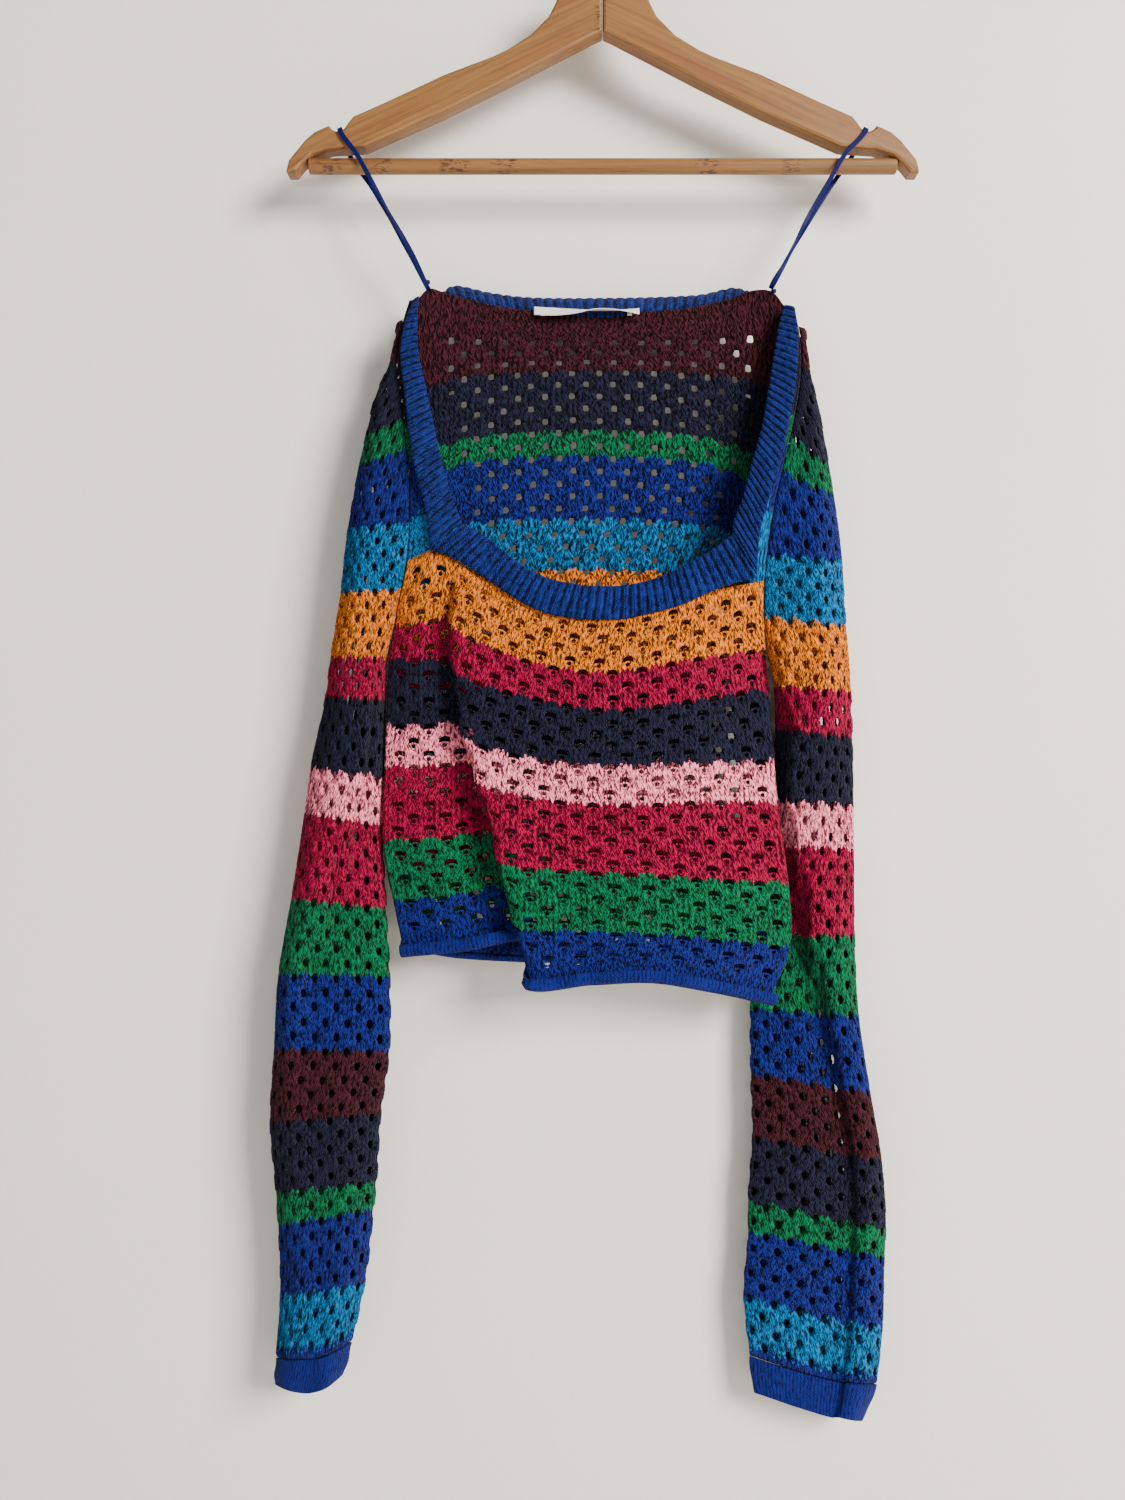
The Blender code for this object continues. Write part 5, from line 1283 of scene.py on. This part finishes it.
@dataclass
class Garment:
    """The knitted pieces of the sweater; sizes are in millimetres.

    A repeat is the lace's width and row, a reach the part of a width over which a seam
    pulls, a grid the rows and the places along them. Each wave of the hem roll is its
    height, its length and its start.
    """

    columns: int = 181
    repeat_front: tuple[float, float] = (21.5, 8.6)
    repeat_back: tuple[float, float] = (19.5, 8.4)
    repeat_sleeve: tuple[float, float] = (15.2, 9.9)
    reach_front: float = 6.0 / 28.0
    reach_back: float = 6.0 / 18.0
    reach_sleeve: float = 6.0 / 22.0
    strap_grid: tuple[int, int] = (60, 9)
    strap_unit: tuple[float, float] = (20.0, 36.0)
    strap_share: float = 0.7
    cuff_grid: tuple[int, int] = (22, 145)
    cuff_half_wall: float = 0.95
    cuff_flare: float = 0.35
    cuff_wales: float = 76.0
    cuff_courses: float = 10.0
    roll_radius: float = 4.3
    roll_turn: float = 235.0
    roll_grid: tuple[int, int] = (26, 161)
    roll_stitch: tuple[float, float] = (2.6, 1.9)
    roll_start: float = 0.9
    roll_waves: tuple = ((0.25, 9.0, 0.0), (0.2, 4.1, 1.0))
    roll_pressed: float = 0.72
    band_swell: float = 0.7
    band_course: float = 2.1
    band_steps: int = 10
    band_rows: int = 12
    band_fine: int = 600
    band_wall: tuple[float, float] = (0.4, 1.1)
    band_split: float = 0.16
    band_colour: str = "#14276e"
    label_grid: tuple[int, int] = (8, 90)
    label_half_wall: float = 0.25
    label_rise: float = 2.2
    tack_step: float = 0.8

    def front_levels(self) -> list[np.ndarray]:
        """Draw the levels of the front."""
        return [front_level(level, self.columns) for level in FRONT_LEVELS]

    def back_levels(self) -> list[np.ndarray]:
        """Draw the levels of the back, its top edge first."""
        top = smooth_line([place(*point) for point in BACK_TOP], self.columns)
        return [top] + [back_level(level, self.columns) for level in BACK_LEVELS]

    def front(self) -> LacePanel:
        """Describe the front below the neck."""
        return LacePanel(
            "front_lace", self.front_levels(), FRONT_STRIPES, *self.repeat_front, ARCHED, 3,
            body_level=0, body_repeats=14.0,
            seams=((False, ARMHOLE_FRONT_LEFT, SEAM_GAP, self.reach_front),
                   (True, ARMHOLE_FRONT_RIGHT, -SEAM_GAP, self.reach_front)),
            creases=((0.62, 0.70, 1.0, 29.0, 0.05, 0.9), (0.86, 0.84, 3.0, 29.0, 0.04, -1.2),
                     (0.45, 0.52, 6.0, 29.0, 0.05, -0.8)),
        )

    def back(self) -> LacePanel:
        """Describe the back."""
        return LacePanel(
            "back_lace", self.back_levels(), BACK_STRIPES, *self.repeat_back, LOAF, 5,
            # gaps=0.42 puts more painted shade between the back's loops than the front's, which paints the
            # inside of the sweater darker
            body_level=7, body_repeats=14, plain_rows=3, gaps=0.42,
            seams=((False, ARMHOLE_BACK_LEFT, SEAM_GAP, self.reach_back),
                   (True, ARMHOLE_BACK_RIGHT, -SEAM_GAP, self.reach_back)),
            creases=((0.30, 0.26, 2.0, 26.0, 0.035, 1.0), (0.55, 0.60, 4.0, 40.0, 0.05, -1.2),
                     (0.78, 0.80, 8.0, 48.0, 0.05, 1.2), (0.18, 0.22, 20.0, 52.0, 0.05, -1.0)),
        )

    def sleeve(self, left: bool) -> LacePanel:
        """Describe a sleeve.

        Args:
            left: Whether it is the left one as seen from the front.

        Returns:
            The panel.
        """
        cap, tube = (CAP_LEFT, TUBE_LEFT) if left else (CAP_RIGHT, TUBE_RIGHT)
        front = ARMHOLE_FRONT_LEFT if left else ARMHOLE_FRONT_RIGHT
        back = ARMHOLE_BACK_LEFT if left else ARMHOLE_BACK_RIGHT
        gap = -SEAM_GAP if left else SEAM_GAP
        levels = [cap_level(level, self.columns) for level in cap]
        levels += [tube_level(level, self.columns) for level in tube]
        return LacePanel(
            f"sleeve_lace_{'left' if left else 'right'}", levels, SLEEVE_STRIPES,
            *self.repeat_sleeve, replace(ROUND, phase=0 if left else 2), 7 if left else 9,
            body_level=len(cap), body_repeats=12.0, tube_level=len(cap), last_yarn=Yarn.BLUE,
            seams=((False, front, gap, self.reach_sleeve), (True, back, gap, self.reach_sleeve)),
        )

    def strap(self, name: str, table: Sequence, heights: Sequence[float], seam: Sequence,
              gap: float, foot: Sequence[np.ndarray]) -> bpy.types.Object:
        """Knit the narrow plain strip of the front beside the neck band.

        Args:
            name: Its name.
            table: Its edges from the shoulder down.
            heights: Seen heights of the changes of yarn.
            seam: The armhole seam.
            gap: Signed distance kept from the seam.
            foot: Its two lowest places, on the front's top edge.

        Returns:
            Its object.
        """
        count, columns = self.strap_grid
        edge = smooth_line([*(to_seam([place(*row[:3])], seam, gap)[0] for row in table), foot[0]], count)
        band = smooth_line([*(place(*row[3:]) for row in table), foot[1]], count)
        across = np.linspace(0.0, 1.0, columns)[None, :, None]
        grid = edge[:, None] * (1 - across) + band[:, None] * across
        facing = normals(grid)
        seen = [row[1] for row in table] + [foot[0][2]]
        seen = np.interp(np.linspace(0, 1, count), np.linspace(0, 1, len(seen)), seen)
        rows = np.interp(-seen, [-table[0][1], *(-z for z in heights)], range(len(heights) + 1))
        knit = knit_map(across[..., 0] * self.strap_share, rows[:, None])
        surface = StripedLace(f"brushed_knit_{name}", tuple(enumerate(STRAP_STRIPES)),
                              float(len(STRAP_STRIPES)), self.strap_unit, 6.0, 9.0, 0.03).make()
        return shell(name, grid, facing, HALF_WALL, knit, surface)

    def cuff(self, left: bool) -> bpy.types.Object:
        """Knit a plain cuff, its edge curling out a little.

        Args:
            left: Whether it is the left one as seen from the front.

        Returns:
            Its object.
        """
        name = f"cuff_knit_{'left' if left else 'right'}"
        courses, stations = self.cuff_grid
        stack = np.array([tube_level(level, stations) for level in (CUFF_LEFT if left else CUFF_RIGHT)])
        run = run_along(stack[:, 0])
        grid = blend(run, stack, np.linspace(0.0, run[-1], courses))
        facing = normals(grid)
        grid = grid + facing * np.sin(np.linspace(0.0, 8.0, courses))[:, None, None] * self.cuff_flare
        knit = knit_map(np.linspace(0.0, self.cuff_wales, stations)[None, :],
                        np.linspace(0.0, self.cuff_courses, courses)[:, None])
        return shell(name, grid, facing, self.cuff_half_wall, knit,
                     PlainKnit(f"plain_knit_{name}", Yarn.BLUE.value).make(), closed_from=0)

    def hem_roll(self, name: str, grid: np.ndarray, outward: float) -> bpy.types.Object:
        """Roll the plain hem to the outer side of its panel.

        Args:
            name: Its name.
            grid: The panel's drawn sheet.
            outward: Which way along Y the outer side faces.

        Returns:
            Its object.
        """
        steps, stations = self.roll_grid
        edge = smooth_line(grid[-1], stations)
        down = smooth_line(grid[-1] + (grid[-1] - grid[-8]), stations) - edge
        along = unit(np.gradient(edge, axis=0))
        out = unit(np.cross(unit(down), along))
        down = unit(np.cross(along, out))
        out = out * np.sign(out[:, 1].mean() * outward)
        # the roll lies flatter where the edge runs down a fold
        pressed = np.clip((0.85 - np.abs(along[:, 0])) / 0.4, 0.0, 1.0)
        radii = self.roll_radius * (1.0 - self.roll_pressed * pressed)
        turns = np.linspace(0.0, math.radians(self.roll_turn), steps)
        run = run_along(edge)
        wave = sum(height * np.sin(run / length + start) for height, length, start in self.roll_waves)
        rows = []
        for turn in turns:
            reach = self.roll_start + radii * math.sin(turn)
            lift = (radii + wave * turn / 4.0) * (1.0 - math.cos(turn))
            rows.append(edge + down * reach[:, None] + out * lift[:, None])
        roll = np.array(rows)
        wale, course = self.roll_stitch
        knit = knit_map((run / wale)[None, :], (turns * self.roll_radius / course)[:, None])
        return shell(name, roll, normals(roll), HALF_WALL, knit,
                     PlainKnit(f"plain_knit_{name}", Yarn.BLUE.value).make())

    def band(self, name: str, table: Sequence, ribs: int) -> bpy.types.Object:
        """Knit one length of the ribbed neck band, ribs across it.

        Args:
            name: Its name.
            table: Its outer and inner edges.
            ribs: How many ribs it has.

        Returns:
            Its object.
        """
        stations = self.band_steps * ribs + 1
        outer, inner = (smooth_line([place(*row[k:k + 3]) for row in table], self.band_fine)
                        for k in (0, 3))
        run = run_along(0.5 * (outer + inner))
        wanted = np.linspace(0.0, run[-1], stations)
        outer, inner = (np.column_stack([np.interp(wanted, run, line[:, k]) for k in range(3)])
                        for line in (outer, inner))
        across = np.linspace(0.0, 1.0, self.band_rows)[:, None, None]
        grid = outer[None] * (1 - across) + inner[None] * across
        facing = normals(grid)
        toward_eye = np.sign(-facing[..., 1].mean())
        grid = grid + facing * self.band_swell * np.sin(math.pi * across) * toward_eye
        phase = np.arange(stations) / self.band_steps
        twin = 0.5 + 0.5 * np.cos(TURN * phase)
        split = self.band_split * np.cos(2.0 * TURN * phase)
        close = 1.0 - 0.35 * np.abs(2.0 * across - 1.0) ** 6
        thin, raised = self.band_wall
        wall = (thin + raised * (twin - split)[None, :, None]) * close
        width = float(np.linalg.norm(outer - inner, axis=1).mean())
        knit = knit_map((2.0 * phase)[None, :], across[..., 0] * width / self.band_course)
        return shell(name, grid, facing, wall, knit,
                     PlainKnit(f"rib_knit_{name}", self.band_colour, 0.8, 0.35).make())

    def label(self) -> bpy.types.Object:
        """Cut the bare label strip, which gapes between its tacked ends.

        Returns:
            Its object.
        """
        rows, columns = self.label_grid
        gapes = list(zip(LABEL_LEVELS, (0.0, 0.0, 0.25, 1.0, 0.9, 0.0)))
        rise = self.label_rise
        upper = smooth_line([place(x, z + rise - 0.7 * gape, y)
                             for (x, z, y, _, _), gape in gapes], columns)
        lower = smooth_line([place(x, z + rise + gape * (high + 0.3 - z), y)
                             for (x, high, _, z, y), gape in gapes], columns)
        across = np.linspace(0.0, 1.0, rows)[:, None, None]
        grid = upper[None] * (1 - across) + lower[None] * across
        knit = knit_map(np.arange(columns)[None, :], np.arange(rows)[:, None])
        return shell("label_tape", grid, normals(grid), self.label_half_wall, knit, WovenTape().make())

    def tacks(self) -> list[bpy.types.Object]:
        """Sew the label's two ends down with a few stitches of white thread.

        Returns:
            One object for each end.
        """
        made = []
        for k, (x, z) in enumerate(((-41.5, -298.2), (18.5, -298.0))):
            places = [x + self.tack_step * step for step in range(4)]
            lines = [(place(side - 1.2, z + 3.6, 6.2), place(side - 0.9, z - 0.4, 2.2)) for side in places]
            made.append(thread(f"label_tack_{k}", lines, 0.22, WovenTape("white_sewing_thread").make()))
        return made

    def dress(self) -> None:
        front, back = self.front(), self.back()
        front_piece = own(front.build(), "lace", "front_panel")
        top = front.sheet()[0][0]
        straps = [
            own(self.strap("strap_left", STRAP_LEFT, (-315.0, -360.0, -380.0, -426.0, -475.0),
                           ARMHOLE_FRONT_LEFT, SEAM_GAP, (top[0], top[14])), "lace"),
            own(self.strap("strap_right", STRAP_RIGHT, (-327.0, -372.0, -392.0, -438.0, -490.0),
                           ARMHOLE_FRONT_RIGHT, -SEAM_GAP, (top[-1], top[-9])), "lace"),
        ]
        back_piece = own(back.build(), "lace", "back_panel")
        sleeves = [own(self.sleeve(left).build(), "lace", f"sleeve_{'left' if left else 'right'}")
                   for left in (True, False)]
        cuffs = [own(self.cuff(left), "plain_knit", f"cuff_{'left' if left else 'right'}")
                 for left in (True, False)]
        rolls = [own(self.hem_roll(f"hem_knit_{side}", panel.sheet()[0], outward), "plain_knit",
                     f"hem_roll_{side}")
                 for side, panel, outward in (("front", front, -1.0), ("back", back, 1.0))]
        # the back band lies behind the back's top edge, lower and nearer only behind the
        # label's gap, and its ends stop short of the shoulders
        tucked = []
        for x, z, y, *upper in BAND_BACK[1:-1]:
            shown = math.exp(-((x - 4.0) / 17.0) ** 2)
            tucked.append((x, z - 2.4 - 2.6 * shown, y + 1.4 - 3.4 * shown, *upper))
        tucked.insert(0, (-111.0, -286.0, 9.0, -111.0, -283.5, 13.0))
        tucked.append((101.0, -284.5, 8.0, 101.0, -282.5, 12.0))
        bands = [own(self.band(f"band_knit_{side}", table, ribs), "rib_knit", f"neckband_{side}")
                 for side, table, ribs in (("front", BAND_FRONT, RIBS_FRONT), ("left", BAND_LEFT, RIBS_LEFT),
                                           ("right", BAND_RIGHT, RIBS_RIGHT), ("back", tucked, RIBS_BACK))]
        label = own(self.label(), "label", "neck_label")
        tacks = [own(tack, "label") for tack in self.tacks()]
        for piece, width, length, share, others in (
            (front_piece, 0.31, 0.49, 0.62, straps), (back_piece, 0.29, 0.49, 0.86, []),
            (sleeves[0], 0.2, 0.76, 0.8, []), (sleeves[1], 0.2, 0.76, 0.8, []),
            (cuffs[0], 0.135, 0.022, 1.0, []), (cuffs[1], 0.195, 0.025, 1.0, []),
            (rolls[0], 0.31, 0.0205, 1.0, []), (rolls[1], 0.28, 0.0205, 1.0, []),
            (bands[0], 0.25, 0.025, 1.0, []), (bands[1], 0.19, 0.018, 1.0, []),
            (bands[2], 0.2, 0.018, 1.0, []), (bands[3], 0.23, 0.015, 1.0, []),
            (label, 0.074, 0.0102, 1.0, tacks),
        ):
            area = 0.5 * sum(face.area for face in piece.data.polygons)
            LOG.info("%s: %d faces, %.4f m2 of cloth, flat %.4f", piece.name,
                     len(piece.data.polygons), area, width * length * share)


def thread(name: str, lines: Sequence, radius: float, surface: bpy.types.Material) -> bpy.types.Object:
    """Lay short lengths of thread.

    Args:
        name: The piece's name.
        lines: Each length as its places in millimetres.
        radius: The thread's radius in millimetres.
        surface: Its material.

    Returns:
        The object, a mesh.
    """
    curve = bpy.data.curves.new(name, "CURVE")
    curve.dimensions = "3D"
    curve.bevel_depth = radius * MM
    curve.bevel_resolution = 2
    curve.use_fill_caps = True
    for line in lines:
        path = curve.splines.new("POLY")
        path.points.add(len(line) - 1)
        for point, spot in zip(path.points, line):
            point.co = (*(float(v) * MM for v in spot), 1.0)
    drawn = new_object(name, curve)
    mesh = bpy.data.meshes.new_from_object(drawn.evaluated_get(bpy.context.evaluated_depsgraph_get()))
    bpy.data.objects.remove(drawn, do_unlink=True)
    mesh.materials.clear()
    mesh.materials.append(surface)
    mesh.shade_smooth()
    return new_object(name, mesh)


@dataclass
class Ribbons:
    """The two satin hanging loops; sizes are in millimetres."""

    width: float = 3.2
    half_wall: float = 0.2
    crown: float = 0.18
    knot_radius: float = 0.85
    grid: tuple[int, int] = (7, 201)
    meet_reach: float = 30.0
    twist_reach: float = 15.0

    def loop(self, side: str, table: Sequence, wide: tuple[float, float, float],
             twist: float, meet: float) -> bpy.types.Object:
        """Run a loop from the shoulder seam over the arm and back.

        Args:
            side: Left or right.
            table: Its route as seen from the front.
            wide: The direction of its width.
            twist: The height at which it turns edge on, in millimetres.
            meet: How far the back strand moves there to lie behind the front one.

        Returns:
            Its object.
        """
        strands, stations = self.grid
        line = smooth_line([
            place(x + (depth > 3.0) * meet * math.exp(-((z - twist) / self.meet_reach) ** 2), z, depth)
            for x, z, depth in table
        ], stations, closed=True)[:-1]
        along = unit(np.roll(line, -1, axis=0) - np.roll(line, 1, axis=0))
        way = unit(np.array(wide))
        flat = unit(way - along * (along @ way)[:, None])
        turn = np.exp(-((line[:, 2] - twist) / self.twist_reach) ** 2)[:, None]
        flat = flat * np.cos(turn) + np.cross(along, flat) * np.sin(turn)
        part = np.linspace(-1.0, 1.0, strands)[:, None, None]
        grid = line[None] + flat[None] * 0.5 * part * self.width
        facing = np.cross(along, flat)[None] * np.ones((strands, 1, 1))
        grid = grid + facing * self.crown * np.cos(1.4 * part)
        grid, facing = (np.concatenate([rows, rows[:, :1]], axis=1) for rows in (grid, facing))
        wall = self.half_wall * (1.0 - 0.5 * np.abs(part) ** 4)
        knit = knit_map(np.linspace(0.0, 80.0, stations)[None, :], np.arange(strands)[:, None])
        return shell(f"satin_loop_{side}", grid, facing, wall, knit,
                     SatinRibbon(f"navy_polyester_satin_{side}").make(), closed_from=0)

    def dress(self) -> None:
        """Make both loops."""
        own(self.loop("left", LOOP_LEFT, (0.88, 0.0, 0.47), -229.0, 1.2), "satin", "ribbon_left")
        own(self.loop("right", LOOP_RIGHT, (0.88, 0.0, -0.47), -252.0, -2.2), "satin", "ribbon_right")
        for side, x, z in (("left", -121.6, -275.4), ("right", 118.0, -281.6)):
            turns = np.linspace(0.0, 2.0 * TURN, 25)
            ring = [place(x + 1.1 * math.cos(a) + 0.4, z + 0.12 * a - 0.8, 1.1 * math.sin(a)) for a in turns]
            own(thread(f"satin_knot_{side}", [ring], self.knot_radius,
                       SatinRibbon(f"navy_polyester_satin_knot_{side}").make()), "satin")


@dataclass
class Hanger:
    """The wooden hanger, whose solids keep their shapes."""

    slope: float = 0.44
    bar_marks: tuple = ((-197.0, -182.0), (-157.0, -147.0), (-111.0, -94.0), (-75.0, -61.0),
                        (66.0, 78.0), (126.0, 138.0))

    def dress(self) -> None:
        """Give the arms, the bar and the hook their finish."""
        for name, surface in (
            ("hanger_arm_left", Beech("lacquered_beech_left", self.slope, ((-3.5, 0.5),)).make()),
            ("hanger_arm_right", Beech("lacquered_beech_right", -self.slope).make()),
            ("hanger_bar", Beech("lacquered_beech_bar", 0.0, self.bar_marks).make()),
            ("hanger_hook", PlatedWire().make()),
        ):
            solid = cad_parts[name]
            solid.data.materials.clear()
            solid.data.materials.append(surface)
            LOG.info("%s: finished as %s", name, surface.name)


@dataclass
class Studio:
    """The plain wall and floor, the soft lights and the camera."""

    wall_y: float = 0.038
    floor_z: float = -1.45
    wall_top: float = 1.6
    room_reach: float = 3.0
    floor_front: float = -4.0
    lens_mm: float = 27.05
    film_mm: float = 36.0

    def painted(self, name: str, colour: str) -> bpy.types.Material:
        """Paint a plain matt surface that is clear from behind.

        Args:
            name: What it is.
            colour: Its sRGB hex colour.

        Returns:
            The material.
        """
        # clouds are 250 mm wide; the roller's grain is 5 mm, coarser than the real one, to show
        paler = tuple(min(1.0, 1.06 * v) for v in linear(colour))
        return new_material(name, {"Roughness": 0.9}, [
            ("place", "TexCoord", {}, {}),
            ("mottle", "TexNoise", {}, {"Vector": "place.Object", "Scale": 4.0, "Detail": 4.0}),
            ("grit", "TexNoise", {}, {"Vector": "place.Object", "Scale": 200.0, "Detail": 3.0}),
            ("paint", "ValToRGB", {"stops": ((0.0, colour), (1.0, paler))}, {0: "mottle"}),
            ("bump", "Bump", {}, {"Strength": 0.3, "Distance": 0.0006, "Height": "grit"}),
            ("clear", "BsdfTransparent", {}, {}),
            ("facing", "NewGeometry", {}, {}),
            ("either", "MixShader", {}, {0: "facing.Backfacing", 1: "shader", 2: "clear"}),
        ], {"Base Color": "paint", "Normal": "bump", "Surface": "either"})

    def plane(self, name: str, corners: Sequence, surface: bpy.types.Material) -> None:
        """Set up one flat stage piece.

        Args:
            name: Its name.
            corners: Its four corners in metres.
            surface: Its paint.
        """
        mesh = bpy.data.meshes.new(name)
        mesh.from_pydata(corners, [], [(0, 1, 2, 3)])
        mesh.materials.append(surface)
        new_object(name, mesh)

    def light(self, name: str, hung: tuple, target: tuple, size: float, power: float,
              colour: str) -> None:
        """Hang a soft square light.

        Args:
            name: Its name.
            hung: Where it hangs, in metres.
            target: What it points at.
            size: Its side in metres.
            power: Its power in watts.
            colour: Its sRGB hex colour.
        """
        lamp = bpy.data.lights.new(name, "AREA")
        lamp.shape = "SQUARE"
        lamp.size = size
        lamp.energy = power
        lamp.color = linear(colour)[:3]
        made = new_object(name, lamp)
        made.location = hung
        made.rotation_euler = (Vector(target) - Vector(hung)).to_track_quat("-Z", "Y").to_euler()

    def dress(self) -> None:
        """Set the stage, the lights and the camera."""
        x, y, z = self.room_reach, self.wall_y, self.floor_z
        top, front = self.wall_top, self.floor_front
        self.plane("wall", [(-x, y, z), (x, y, z), (x, y, top), (-x, y, top)],
                   self.painted("matt_wall_paint", "#e8e5df"))
        self.plane("floor", [(-x, front, z), (x, front, z), (x, y, z), (-x, y, z)],
                   self.painted("matt_floor_paint", "#dad6ce"))
        self.light("window", (1.9, -2.1, 0.4), (-0.3, 0.0, -1.5), 1.2, 218.0, "#fffaf2")
        self.light("room", (-1.3, -1.8, -0.2), (0.0, 0.0, -0.6), 1.8, 10.0, "#f2f5ff")
        self.light("back_glow", (0.0, 1.6, 0.3), (0.0, 0.0, -0.6), 1.6, 5.0, "#ffffff")
        world = bpy.data.worlds.new("room_light")
        bpy.context.scene.world = world
        world.use_nodes = True
        sky = world.node_tree.nodes["Background"].inputs
        sky["Color"].default_value = linear("#f4f2ee")
        sky["Strength"].default_value = 0.18
        lens = bpy.data.cameras.new("camera")
        lens.sensor_fit = "VERTICAL"
        lens.sensor_height = self.film_mm
        lens.lens = self.lens_mm
        lens.clip_start = 0.01
        camera = new_object("camera", lens)
        camera.location = (EYE_X * MM, -EYE_DISTANCE * MM, EYE_Z * MM)
        camera.rotation_euler = (math.pi / 2.0, 0.0, 0.0)
        bpy.context.scene.camera = camera


def main() -> None:
    """Dress every part; the cloth's sizes go to the log."""
    logging.basicConfig(level=logging.INFO, format="%(name)s: %(message)s")
    for maker in (Garment(), Ribbons(), Hanger(), Studio()):
        maker.dress()
    LOG.info("cloth, loops, hanger and stage are ready")


if __name__ == "__main__":
    main()
